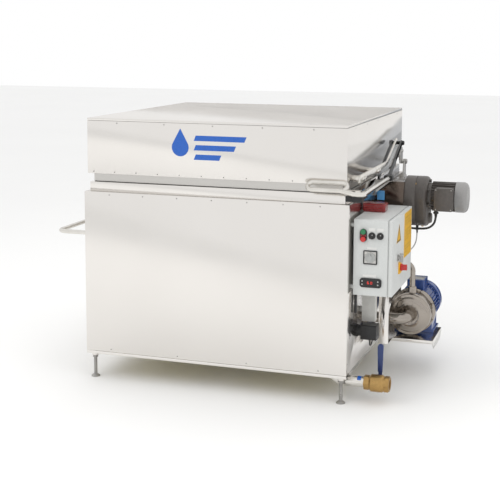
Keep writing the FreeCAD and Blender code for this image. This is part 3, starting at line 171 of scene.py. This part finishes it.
def sheet_steel(name, colour, low, high, buckle=0.0004):
    """Satin stainless sheet: faint rolling lines, cloudy gloss, slight buckling."""
    paint = Paint(name, colour, low, 1.0)
    paint.shine(paint.noise((1, 1, 1), 3.5, 5.0), low, high)
    paint.tint(paint.noise((1, 1, 0.5), 1.7, 4.0), tuple(c * 0.96 for c in colour), 0.6)
    paint.tint(paint.noise((0.4, 0.4, 1), 9.0, 8.0, 0.7), (0.70, 0.66, 0.60), 0.05)
    paint.bump(paint.noise((1, 1, 1), 1.1, 1.0), buckle)
    paint.bump(paint.noise((1, 1, 60), 26.0, 2.0), 0.00002)
    return paint.material


def tube_steel(name, colour, low, high):
    paint = Paint(name, colour, low, 1.0)
    paint.shine(paint.noise((1, 1, 1), 40.0, 4.0), low, high)
    paint.tint(paint.noise((1, 1, 1), 14.0, 5.0), (0.42, 0.38, 0.33), 0.25)
    paint.bump(paint.noise((1, 1, 1), 320.0, 2.0), 0.00001)
    return paint.material


def zinc(name, thread=0.0):
    paint = Paint(name, (0.50, 0.49, 0.47), 0.35, 1.0)
    paint.shine(paint.noise((1, 1, 1), 60.0, 4.0), 0.26, 0.5)
    paint.tint(paint.noise((1, 1, 1), 34.0, 6.0), (0.36, 0.35, 0.34), 0.7)
    if thread:
        paint.bump(paint.waves("Z", thread), 0.0006)
    paint.bump(paint.noise((1, 1, 1), 400.0, 2.0), 0.00004)
    return paint.material


def coated(name, colour, roughness, grain=0.00012, size=520.0, soil=0.25, coat=0.0):
    """Powder coat or enamel: fine texture, soft soiling and worn lighter specks."""
    paint = Paint(name, colour, roughness, Coat_Weight=coat, Coat_Roughness=0.12)
    paint.shine(paint.noise((1, 1, 1), 18.0, 5.0), roughness * 0.85, roughness * 1.2)
    paint.tint(paint.noise((1, 1, 0.6), 5.0, 6.0), tuple(c * 0.72 for c in colour), soil)
    paint.tint(paint.noise((1, 1, 1), 140.0, 3.0), tuple(min(1, c * 1.15 + 0.01) for c in colour),
               0.3)
    paint.bump(paint.noise((1, 1, 1), size, 2.0), grain)
    return paint.material


def cast_metal(name, colour, roughness, metallic=0.0, depth=0.0005, size=150.0):
    paint = Paint(name, colour, roughness, metallic)
    paint.shine(paint.noise((1, 1, 1), 22.0, 5.0), roughness * 0.8, roughness * 1.25)
    paint.tint(paint.noise((1, 1, 1), 9.0, 7.0, 0.6), tuple(c * 0.6 for c in colour), 0.6)
    paint.tint(paint.noise((1, 1, 1), 75.0, 4.0), tuple(min(1, c * 1.5) for c in colour), 0.25)
    paint.bump(paint.noise((1, 1, 1), size, 3.0), depth)
    return paint.material


def moulded(name, colour, roughness, grain=0.00008, coat=0.0):
    paint = Paint(name, colour, roughness, Coat_Weight=coat, Coat_Roughness=0.08)
    paint.shine(paint.noise((1, 1, 1), 30.0, 3.0), roughness * 0.85, roughness * 1.2)
    paint.tint(paint.noise((1, 1, 1), 45.0, 4.0), tuple(c * 0.8 for c in colour), 0.35)
    paint.bump(paint.noise((1, 1, 1), 900.0, 2.0), grain)
    return paint.material


def rubber(name, colour, roughness):
    paint = Paint(name, colour, roughness, Sheen_Weight=0.15)
    paint.shine(paint.noise((1, 1, 1), 50.0, 4.0), roughness * 0.9, roughness * 1.15)
    paint.tint(paint.noise((1, 1, 1), 25.0, 6.0), tuple(min(1, c * 1.8 + 0.01) for c in colour),
               0.4)
    paint.bump(paint.noise((1, 1, 1), 700.0, 2.0), 0.00008)
    return paint.material


def lens(name, colour):
    """Ribbed translucent lamp lens, with painted shade in dark stripes along the ribs."""
    paint = Paint(name, colour, 0.18, Coat_Weight=0.6, Coat_Roughness=0.05)
    # Painted shade: the lens colour is darkened in bands that follow the ribs.
    paint.tint(paint.waves("Z", 39.3), tuple(c * 0.35 for c in colour), 0.8)
    paint.bump(paint.waves("Z", 39.3), 0.0012)
    paint.shine(paint.noise((1, 1, 1), 30.0, 3.0), 0.12, 0.3)
    return paint.material


def wool(name):
    paint = Paint(name, (0.62, 0.54, 0.30), 0.95)
    paint.tint(paint.noise((1, 1, 6), 60.0, 8.0, 0.8), (0.80, 0.74, 0.52), 0.9)
    paint.bump(paint.noise((1, 1, 6), 120.0, 6.0, 0.8), 0.003)
    return paint.material


def glowing(name, colour, strength):
    paint = Paint(name, colour, 0.4, Emission_Strength=strength)
    paint.shader.inputs["Emission Color"].default_value = (*colour, 1.0)
    paint.shine(paint.noise((1, 1, 1), 200.0), 0.3, 0.5)
    return paint.material


WARM_STEEL = (0.79, 0.765, 0.735)
finish = {
    "panels": sheet_steel("satin_stainless", WARM_STEEL, 0.13, 0.21),
    "lid": sheet_steel("satin_stainless_lid", WARM_STEEL, 0.16, 0.24, 0.0004),
    "inner": sheet_steel("dull_stainless", (0.60, 0.585, 0.56), 0.28, 0.40, 0.0003),
    # Drive console: the stainless gets a dark brown base colour, a painted dark reflection.
    "console": sheet_steel("stainless_painted_dark_reflection", (0.11, 0.085, 0.07), 0.14, 0.24, 0.0004),
    "tube": tube_steel("polished_tube", (0.74, 0.72, 0.68), 0.14, 0.26),
    # Pump steel: base colour darkened and browned, a painted dark reflection.
    "pump_steel": tube_steel("pressed_stainless_painted_dark_reflection", (0.35, 0.315, 0.28), 0.13, 0.24),
    "zinc": zinc("zinc_plate"),
    "stud": zinc("threaded_stud", 180.0),
    "ground": tube_steel("ground_steel", (0.58, 0.58, 0.57), 0.22, 0.36),
    "iron": cast_metal("bearing_iron", (0.20, 0.20, 0.20), 0.55, 0.4),
    "drive": cast_metal("drive_casting", (0.085, 0.075, 0.068), 0.36, 0.0, 0.0004, 110.0),
    "fan_cover": coated("fan_cover_paint", (0.27, 0.265, 0.26), 0.36, 0.0001),
    "cabinet": coated("cabinet_powder_coat", (0.57, 0.585, 0.575), 0.42, 0.0001, 420.0, 0.12),
    "blue": coated("blue_enamel", (0.006, 0.045, 0.22), 0.22, 0.0001, 300.0, 0.35, 0.5),
    "brass": cast_metal("forged_brass", (0.46, 0.29, 0.11), 0.34, 1.0, 0.0002, 210.0),
    "chrome": tube_steel("hard_chrome", (0.75, 0.75, 0.75), 0.06, 0.14),
    "black_steel": coated("black_powder_coat", (0.012, 0.012, 0.012), 0.35, 0.00018),
    "black": moulded("black_moulding", (0.014, 0.014, 0.015), 0.38),
    "gasket": rubber("seal_rubber", (0.02, 0.02, 0.02), 0.7),
    "blue_foil": moulded("blue_foil", (0.008, 0.10, 0.46), 0.28, 0.00002, 0.3),
    "sky_foil": moulded("light_blue_foil", (0.10, 0.36, 0.72), 0.30, 0.00002, 0.2),
    "yellow_foil": moulded("yellow_foil", (0.80, 0.45, 0.012), 0.35, 0.00002, 0.2),
    "ochre": moulded("dark_yellow_print", (0.34, 0.20, 0.02), 0.40, 0.00002),
    "yellow": moulded("yellow_moulding", (0.80, 0.42, 0.01), 0.34),
    "red": moulded("red_moulding", (0.50, 0.012, 0.010), 0.30, 0.00004, 0.4),
    "green": moulded("green_moulding", (0.010, 0.17, 0.06), 0.30, 0.00004, 0.4),
    "lamp": lens("ribbed_red_lens_painted_rib_shade", (0.33, 0.008, 0.010)),
    "white": moulded("white_plate", (0.70, 0.70, 0.68), 0.35),
    "grey": moulded("grey_moulding", (0.40, 0.41, 0.40), 0.42),
    "duct": moulded("duct_moulding", (0.58, 0.575, 0.55), 0.45),
    "wool": wool("mineral_wool"),
    "lever": moulded("dipped_vinyl", (0.014, 0.035, 0.14), 0.34, 0.00015, 0.2),
    "cable": rubber("black_cable", (0.012, 0.012, 0.012), 0.5),
    "cable_grey": rubber("grey_cable", (0.42, 0.42, 0.41), 0.5),
    "digits": glowing("red_digits", (0.8, 0.03, 0.02), 0.6),
}

NODE_FINISH = {
    "panels": ["outer_panels", "tank_rim", "base_frame", "pump_shelf"],
    "lid": ["lid_walls", "lid_top"],
    "inner": ["inner_tank", "lid_liner", "basket_frame", "basket_mesh"],
    "console": ["drive_console"],
    "tube": ["side_rail", "lid_arm", "handle_tube", "wash_pipes", "drain_pipe"],
    "pump_steel": ["pump_casing", "suction_pipe", "discharge_pipe"],
    "zinc": ["panel_screws", "lid_screws", "side_brackets", "lid_hinges", "door_lock"],
    "stud": ["levelling_feet"],
    "ground": ["drive_shaft", "pump_rotor"],
    "iron": ["bearings"],
    "drive": ["gear_housing", "drive_motor"],
    "fan_cover": ["drive_fan_cover"],
    "cabinet": ["cabinet_body", "cabinet_door"],
    "blue": ["pump_motor"],
    "brass": ["drain_valve_body"],
    "chrome": ["drain_ball"],
    "black_steel": ["fork_bars"],
    "black": ["lid_switch", "control_bezels", "selector_knob_1", "selector_knob_2",
              "cable_glands", "heater"],
    "gasket": ["lid_gasket"],
    "blue_foil": ["lid_decal"],
    "yellow_foil": ["door_labels"],
    "yellow": ["main_switch_plate"],
    "red": ["main_switch_knob", "red_button"],
    "green": ["green_button"],
    "lamp": ["signal_lamp"],
    "white": ["label_plates"],
    "grey": ["timer_dial", "switchgear"],
    "duct": ["cable_duct"],
    "wool": ["tank_insulation"],
    "lever": ["drain_lever"],
}

# Nodes whose edges are rounded, with the radius in millimetres.
SOFT_EDGES = {
    "lid_walls": 0.8, "lid_top": 1.0, "outer_panels": 0.8, "tank_rim": 0.8, "base_frame": 0.8,
    "cabinet_body": 0.9, "cabinet_door": 1.2, "drive_console": 1.2, "pump_shelf": 1.0,
    "lid_arm": 1.0, "fork_bars": 1.4, "gear_housing": 1.6, "drive_motor": 0.5,
    "cable_duct": 1.5, "lid_switch": 0.8, "side_brackets": 0.8, "lid_hinges": 0.8,
    "control_bezels": 0.9, "green_button": 1.2, "red_button": 1.2, "selector_knob_1": 1.0,
    "selector_knob_2": 1.0, "main_switch_plate": 1.0, "main_switch_knob": 1.6,
    "timer_dial": 1.0, "switchgear": 1.2, "signal_lamp": 1.6, "pump_motor": 0.6,
    "pump_casing": 1.0, "drain_valve_body": 0.9, "drain_lever": 0.8, "basket_frame": 0.8,
    "heater": 0.8, "cable_glands": 0.5, "levelling_feet": 0.6,
}
SMOOTH_ANGLE = math.radians(32)


def smooth(piece):
    """Soft shading over curves, with creases kept sharp."""
    mesh = piece.data
    mesh.polygons.foreach_set("use_smooth", [True] * len(mesh.polygons))
    mesh.set_sharp_from_angle(angle=SMOOTH_ANGLE)


def round_edges(piece, radius, segments=2):
    weld = piece.modifiers.new("weld", "WELD")
    weld.merge_threshold = 0.00001
    bevel = piece.modifiers.new("edges", "BEVEL")
    bevel.width = radius * MM
    bevel.segments = segments
    bevel.limit_method = "ANGLE"
    bevel.angle_limit = math.radians(38)
    bevel.harden_normals = True


def dress_cad_nodes():
    for key, names in NODE_FINISH.items():
        for name in names:
            node = nodes[name]
            node.data.materials.clear()
            node.data.materials.append(finish[key])
            smooth(node)
            if name in SOFT_EDGES:
                round_edges(node, SOFT_EDGES[name])


# --- piece makers -----------------------------------------------------------------
def new_piece(name, bm, key, body, crease=SMOOTH_ANGLE):
    mesh = bpy.data.meshes.new(name)
    bmesh.ops.recalc_face_normals(bm, faces=bm.faces)
    bm.to_mesh(mesh)
    bm.free()
    mesh.polygons.foreach_set("use_smooth", [True] * len(mesh.polygons))
    mesh.set_sharp_from_angle(angle=crease)
    mesh.materials.append(finish[key])
    piece = bpy.data.objects.new(name, mesh)
    scene.collection.objects.link(piece)
    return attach(piece, body)


def add_block(bm, low, high, radius=1.0):
    """A block between two drawing corners with rounded edges."""
    low, high = at(*low), at(*high)
    middle, size = (low + high) / 2, high - low
    made = bmesh.ops.create_cube(bm, size=1.0)["verts"]
    bmesh.ops.scale(bm, vec=size, verts=made)
    bmesh.ops.translate(bm, vec=middle, verts=made)
    edges = list({edge for vert in made for edge in vert.link_edges})
    if radius:
        bmesh.ops.bevel(bm, geom=edges, offset=radius * MM, segments=2, profile=0.5,
                        affect="EDGES")


def add_lathe(bm, centre, axis, profile, count=32):
    """A turned form: profile points are (distance along the axis, radius) in mm."""
    turn = Vector((0, 0, 1)).rotation_difference(Vector(axis))
    origin = at(*centre)
    rings = []
    for along, radius in profile:
        ring = []
        for index in range(count):
            angle = 2 * math.pi * index / count
            point = Vector((radius * math.cos(angle), radius * math.sin(angle), along)) * MM
            ring.append(bm.verts.new(origin + turn @ point))
        rings.append(ring)
    for first, second in zip(rings, rings[1:]):
        for index in range(count):
            after = (index + 1) % count
            bm.faces.new((first[index], first[after], second[after], second[index]))
    bm.faces.new(rings[0][::-1])
    bm.faces.new(rings[-1])


def blocks(name, key, body, corners, radius=1.0):
    bm = bmesh.new()
    for low, high in corners:
        add_block(bm, low, high, radius)
    return new_piece(name, bm, key, body)


def turned(name, key, body, parts, count=32):
    bm = bmesh.new()
    for centre, axis, profile in parts:
        add_lathe(bm, centre, axis, profile, count)
    return new_piece(name, bm, key, body)


# --- cables -----------------------------------------------------------------------
MOTOR_CABLE = [(905, -88, 777), (905, -88, 746), (890, -84, 719), (864, -77, 703),
               (817, -68, 699), (773, -60, 699), (732, -55, 699), (706, -70, 700),
               (690, -97, 700), (690, -126, 700)]
SENSOR_CABLE = [(805, 0, 682), (805, 0, 656), (804, -8, 631), (798, -23, 610),
                (789, -45, 597), (779, -70, 591), (766, -98, 592), (766, -126, 592)]
HEATER_CABLE = [(676, -350, 318), (676, -350, 286), (678, -352, 254), (677, -361, 227),
                (676, -382, 213), (676, -406, 218), (676, -415, 234), (676, -415, 245)]


def sleeve(name, exit_point, axis, radius):
    """Tapered strain relief with ribs where a cable leaves its gland."""
    profile = [(-0.5, radius * 1.5)]
    for index in range(5):
        start = 1.0 + index * 3.0
        taper = radius * (1.5 - 0.08 * index)
        profile += [(start, taper), (start + 1.6, taper), (start + 2.0, taper * 0.88),
                    (start + 2.8, taper * 0.88)]
    profile.append((17.0, radius * 1.04))
    return turned(name, "black", "tank", [(exit_point, axis, profile)], 24)


def free_cable(name, node, points, diameter, key):
    data = bpy.data.curves.new(name, "CURVE")
    data.dimensions = "3D"
    data.bevel_depth = diameter / 2 * MM
    data.bevel_resolution = 5
    data.resolution_u = 10
    data.use_fill_caps = True
    line = data.splines.new("NURBS")
    line.points.add(len(points) - 1)
    for control, point in zip(line.points, points):
        control.co = (*at(*point), 1.0)
    line.order_u = 3
    line.use_endpoint_u = True
    data.materials.append(finish[key])
    piece = bpy.data.objects.new(name, data)
    scene.collection.objects.link(piece)
    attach(piece, "tank")
    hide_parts(node)
    first = Vector(points[1]) - Vector(points[0])
    last = Vector(points[-2]) - Vector(points[-1])
    reliefs = [sleeve(name + "_relief_1", points[0], first.normalized(), diameter / 2)]
    if last.length > 17:
        reliefs.append(sleeve(name + "_relief_2", points[-1], last.normalized(), diameter / 2))


# --- cabinet detail ----------------------------------------------------------------
def cabinet_detail():
    face = CABINET_FACE
    blocks("button_lens", "lamp", "tank", [((664, face - 6.2, 743), (690, face - 4.6, 751))], 0.6)
    for index, x in enumerate((714.0, 750.0), 1):
        bm = bmesh.new()
        lean = math.radians(35)
        tip = (x + 7.5 * math.sin(lean), 747 + 7.5 * math.cos(lean))
        add_block(bm, (tip[0] - 1.6, face - 20.0, tip[1] - 1.6),
                  (tip[0] + 1.6, face - 18.9, tip[1] + 1.6), 0.5)
        new_piece(f"selector_dot_{index}", bm, "white", f"selector_{index}")
    ticks = bmesh.new()
    for index in range(24):
        angle = 2 * math.pi * index / 24
        reach = 24.2 if index % 2 == 0 else 23.8
        x, z = TIMER_X + reach * math.sin(angle), TIMER_Z + reach * math.cos(angle)
        size = 0.9 if index % 2 == 0 else 0.5
        add_block(ticks, (x - size, face - 3.5, z - size), (x + size, face - 2.9, z + size), 0.2)
    new_piece("timer_ticks", ticks, "black", "tank")
    blocks("timer_scale_plate", "duct", "tank", [((683.1, face - 3.15, 627.6),
                                                   (733.9, face - 2.7, 678.4))], 0.15)


SEGMENTS = {"a": (0, 8, 7, 9.4), "b": (6, 4.4, 7.4, 8.4), "c": (6, 0.2, 7.4, 4.0),
            "d": (0, -1.2, 7, 0.2), "e": (-0.4, 0.2, 1.0, 4.0), "f": (-0.4, 4.4, 1.0, 8.4),
            "g": (0.6, 3.4, 6.4, 4.8)}
DIGITS = {"6": "acdefg", "0": "abcdef"}


def display():
    """Two plain digits behind the temperature controller's window."""
    face = -586.0
    bm = bmesh.new()
    for place, digit in ((698.0, "6"), (712.0, "0")):
        for segment in DIGITS[digit]:
            x0, z0, x1, z1 = SEGMENTS[segment]
            add_block(bm, (place + x0, face + 0.1, 539 + z0), (place + x1, face + 0.45, 539 + z1),
                      0.12)
    new_piece("display_digits", bm, "digits", "tank")
    keys = bmesh.new()
    for x in (676, 744):
        for z in (536, 550):
            add_lathe(keys, (x, -586.6, z), (0, -1, 0), [(0, 3.2), (1.0, 3.2), (1.5, 2.4)], 20)
    new_piece("controller_keys", keys, "grey", "tank")


def door_detail():
    """Black edges of the triangle, rule lines of the plate, hinge knuckles."""
    x0, x1 = 803.5, 803.95
    bm = bmesh.new()
    corners = [Vector((0, -436, 776)), Vector((0, -489, 704.5)), Vector((0, -398, 704.5))]
    middle = sum(corners, Vector()) / 3
    outer = [middle + (c - middle) * 1.0 for c in corners]
    inner = [middle + (c - middle) * 0.80 for c in corners]
    rings = []
    for ring in (outer, inner):
        rings.append([[bm.verts.new(at(x, p.y, p.z)) for p in ring] for x in (x0, x1)])
    for index in range(3):
        after = (index + 1) % 3
        (out_low, out_high), (in_low, in_high) = rings
        bm.faces.new((out_high[index], out_high[after], in_high[after], in_high[index]))
        bm.faces.new((out_low[index], out_low[after], out_high[after], out_high[index]))
        bm.faces.new((in_low[index], in_low[after], in_high[after], in_high[index]))
        bm.faces.new((out_low[index], out_low[after], in_low[after], in_low[index]))
    new_piece("triangle_edge", bm, "black", "door")
    rules = [((803.5, -306, z), (803.95, -306 + length, z + 2.6))
             for z, length in ((782, 140), (768, 120), (754, 146), (726, 146), (712, 132),
                               (698, 146), (684, 96), (656, 146), (642, 128), (628, 60))]
    blocks("plate_rules", "ochre", "door", rules, 0.15)
    parts = []
    for z in (530, 770):
        parts.append(((788, -138, z - 18), (0, 0, 1),
                      [(0, 3.6), (0.6, 4.2), (35.4, 4.2), (36, 3.6)]))
    turned("door_knuckles", "zinc", "door", parts, 24)


def cabinet_gear():
    """Noses, toggles, clamps and wiring ducts on the switchgear behind the door."""
    plate_x = 645.0
    noses = [((plate_x + 74.5, -521 + 58 * index, 694), (plate_x + 83, -493 + 58 * index, 738))
             for index in range(4)]
    noses += [((plate_x + 60.5, -522 + 62 * index, 588), (plate_x + 66, -494 + 62 * index, 624))
              for index in range(3)]
    blocks("contactor_noses", "black", "tank", noses, 1.6)
    toggles = [((plate_x + 58.5, -284 + 18.5 * index, 600), (plate_x + 69, -276 + 18.5 * index, 616))
               for index in range(4)]
    blocks("breaker_toggles", "black", "tank", toggles, 1.0)
    clamps = [((plate_x + 36.5, -517 + 8 * index, 520), (plate_x + 41, -511.5 + 8 * index, 556))
              for index in range(33)]
    blocks("terminal_clamps", "duct", "tank", clamps, 0.5)
    ducts = [((plate_x - 0.3, -552, 654), (plate_x + 44, -168, 671)),
             ((plate_x - 0.3, -552, 770), (plate_x + 44, -168, 792))]
    blocks("wiring_ducts", "duct", "tank", ducts, 1.2)


# --- machinery detail -----------------------------------------------------------------
def drive_detail():
    blocks("console_label", "sky_foil", "tank", [((624, -62.8, 824), (659, -61.9, 868))], 0.3)
    screws = []
    for x in (907, 976):
        for z in (801, 891):
            screws.append(((x, -118, z), (0, -1, 0), [(-1, 2.6), (1.0, 2.6), (1.5, 1.8)]))
    turned("terminal_box_screws", "zinc", "tank", screws, 18)
    tyre = [(0.6, 44), (0.6, 49.3), (1.6, 49.9), (18.4, 49.9), (19.4, 49.3), (19.4, 44)]
    turned("wheel_tyre", "gasket", "drive_spindle", [((455, 0, 846), (1, 0, 0), tyre)], 64)
    plugs = [((830, 0, 702.5), (0, 0, -1), [(-1.5, 6), (3, 6), (4, 5)]),
             ((806, -60, 906), (0, -0.4, 1), [(-14, 7), (4, 7), (5.5, 5.5)])]
    turned("oil_plugs", "brass", "tank", plugs, 6)


def pump_detail():
    bead = 95.4
    weld = ((PUMP_X, -104.6, PUMP_Z), (0, 1, 0),
            [(-1.2, bead - 3), (-0.9, bead - 0.6), (0.6, bead + 0.5), (1.6, bead - 1.0)])
    turned("casing_bead", "pump_steel", "tank", [weld], 72)
    blocks("pump_plate", "zinc", "tank", [((764, 44, 433.8), (834, 104, 434.8))], 0.3)
    feet = []
    for x in (767, 831):
        for y in (40, 134):
            feet.append(((x, y, 198), (0, 0, 1), [(-0.5, 8), (0.5, 8), (1.0, 7), (5.0, 7),
                                                  (5.6, 6)]))
    turned("pump_foot_bolts", "zinc", "tank", feet, 6)


def drain_detail():
    bm = bmesh.new()
    patch = []
    for x in (655, 672):
        patch.append([bm.verts.new(at(x, DRAIN_Y - 24.25 * math.sin(angle),
                                      DRAIN_Z + 24.25 * math.cos(angle)))
                      for angle in (math.radians(-20 + 10 * k) for k in range(9))])
    for index in range(8):
        bm.faces.new((patch[0][index], patch[0][index + 1], patch[1][index + 1],
                      patch[1][index]))
    new_piece("pipe_sticker", bm, "blue_foil", "tank")
    profile = [(0.0, 21.0)]
    for index in range(9):
        start = 0.5 + 2.3 * index
        profile += [(start, 21.2), (start + 1.1, 22.35)]
    profile += [(21.6, 22.35)]
    bm = bmesh.new()
    count = 48
    rings = []
    for along, radius in profile:
        rings.append([bm.verts.new(at(774.2 + along, DRAIN_Y + radius * math.cos(angle),
                                      DRAIN_Z + radius * math.sin(angle)))
                      for angle in (2 * math.pi * k / count for k in range(count))])
    for first, second in zip(rings, rings[1:]):
        for index in range(count):
            after = (index + 1) % count
            bm.faces.new((first[index], second[index], second[after], first[after]))
    new_piece("outlet_thread", bm, "brass", "tank")
    turned("lever_nut", "zinc", "drain_cock",
           [((742, -484.2, DRAIN_Z), (0, 1, 0), [(-0.2, 11.5), (5.6, 11.5), (6.6, 10)])], 6)


def basket_wire():
    """Fine wire netting inside the drum's windows."""
    bm = bmesh.new()
    radius, low, high, thick = 447.6, 250.0, 890.0, 1.1
    for index in range(96):
        angle = 2 * math.pi * (index + 0.5) / 96
        x, y = radius * math.cos(angle), radius * math.sin(angle)
        add_lathe(bm, (x, y, low), (0, 0, 1), [(0, thick), (high - low, thick)], 5)
    count = 144
    for level in range(22):
        z = low + 8 + (high - low - 16) * level / 21
        rings = []
        for index in range(count):
            angle = 2 * math.pi * index / count
            ring = []
            for corner in range(5):
                turn = 2 * math.pi * corner / 5
                reach = radius - 1.0 + thick * math.cos(turn)
                ring.append(bm.verts.new(at(reach * math.cos(angle), reach * math.sin(angle),
                                            z + thick * math.sin(turn))))
            rings.append(ring)
        for index in range(count):
            first, second = rings[index], rings[(index + 1) % count]
            for corner in range(5):
                after = (corner + 1) % 5
                bm.faces.new((first[corner], first[after], second[after], second[corner]))
    new_piece("basket_wire", bm, "tube", "basket")


# --- stage -------------------------------------------------------------------------
def stage_object(name, verts, faces, material):
    mesh = bpy.data.meshes.new(name)
    mesh.from_pydata(verts, [], faces)
    mesh.materials.append(material)
    made = bpy.data.objects.new(name, mesh)
    scene.collection.objects.link(made)
    return made


def make_stage():
    floor = Paint("pale_floor", (0.90, 0.90, 0.895), 0.9)
    floor.tint(floor.noise((1, 1, 1), 0.6, 2.0), (0.88, 0.88, 0.875), 0.5)
    reach = 24.0
    stage_object("floor", [(-reach, -reach, 0), (reach, -reach, 0), (reach, reach, 0),
                           (-reach, reach, 0)], [(0, 1, 2, 3)], floor.material)
    cards = [("card_back", (0.68, 0.665, 0.65), (-4.5, 0.3), 4.5, (0.0, 2.6)),
             ("card_low", (0.055, 0.045, 0.038), (0.42, 1.35), 1.25, (0.0, 0.62)),
             ("card_high", (0.58, 0.60, 0.63), (0.42, 0.813), 1.25, (0.62, 1.25)),
             ("card_edge", (0.16, 0.15, 0.13), (0.813, 0.905), 1.25, (0.62, 1.15))]
    for name, colour, (x0, x1), y, (z0, z1) in cards:
        reflected_card(name, colour, [(x0, y, z0), (x1, y, z0), (x1, y, z1), (x0, y, z1)])


def reflected_card(name, colour, corners):
    """A board of the room around the tank, seen only in the polished metal."""
    board = Paint(name, colour, 1.0)
    board.tint(board.noise((1, 1, 1), 1.4, 2.0), tuple(c * 0.85 for c in colour), 0.6)
    panel = stage_object(name, corners, [(0, 1, 2, 3)], board.material)
    panel.visible_camera = False
    panel.visible_diffuse = False
    panel.visible_shadow = False
    panel.visible_transmission = False


def area_light(name, place, target, size, power, colour):
    data = bpy.data.lights.new(name, "AREA")
    data.shape, data.size, data.size_y = "RECTANGLE", size[0], size[1]
    data.energy, data.color = power, colour
    light = bpy.data.objects.new(name, data)
    scene.collection.objects.link(light)
    light.visible_glossy = False
    light.location = place
    direction = Vector(target) - Vector(place)
    light.rotation_mode = "QUATERNION"
    light.rotation_quaternion = direction.to_track_quat("-Z", "Y")


def make_lights():
    world = bpy.data.worlds.new("studio")
    world.use_nodes = True
    background = world.node_tree.nodes["Background"]
    background.inputs["Color"].default_value = (1.0, 1.0, 1.0, 1.0)
    background.inputs["Strength"].default_value = 1.0
    scene.world = world
    middle = (0, 0, 0.6)
    area_light("key", (-2.6, -3.8, 3.6), middle, (2.4, 2.4), 45, (1.0, 0.98, 0.95))
    area_light("top", (0.2, 0.4, 4.2), middle, (3.0, 3.0), 30, (1.0, 1.0, 1.0))
    area_light("fill", (3.6, -2.6, 2.2), middle, (1.6, 2.2), 15, (1.0, 0.99, 0.97))
    scene.view_settings.view_transform = "Standard"
    scene.view_settings.look = "None"


make_camera()
free_cable("motor_cable_line", "motor_cable", MOTOR_CABLE, 10.0, "cable")
free_cable("sensor_cable_line", "sensor_cable", SENSOR_CABLE, 6.0, "cable_grey")
free_cable("heater_cable_line", "heater_cable", HEATER_CABLE, 6.0, "cable")
dress_cad_nodes()
cabinet_detail()
display()
door_detail()
cabinet_gear()
drive_detail()
pump_detail()
drain_detail()
basket_wire()
make_stage()
make_lights()
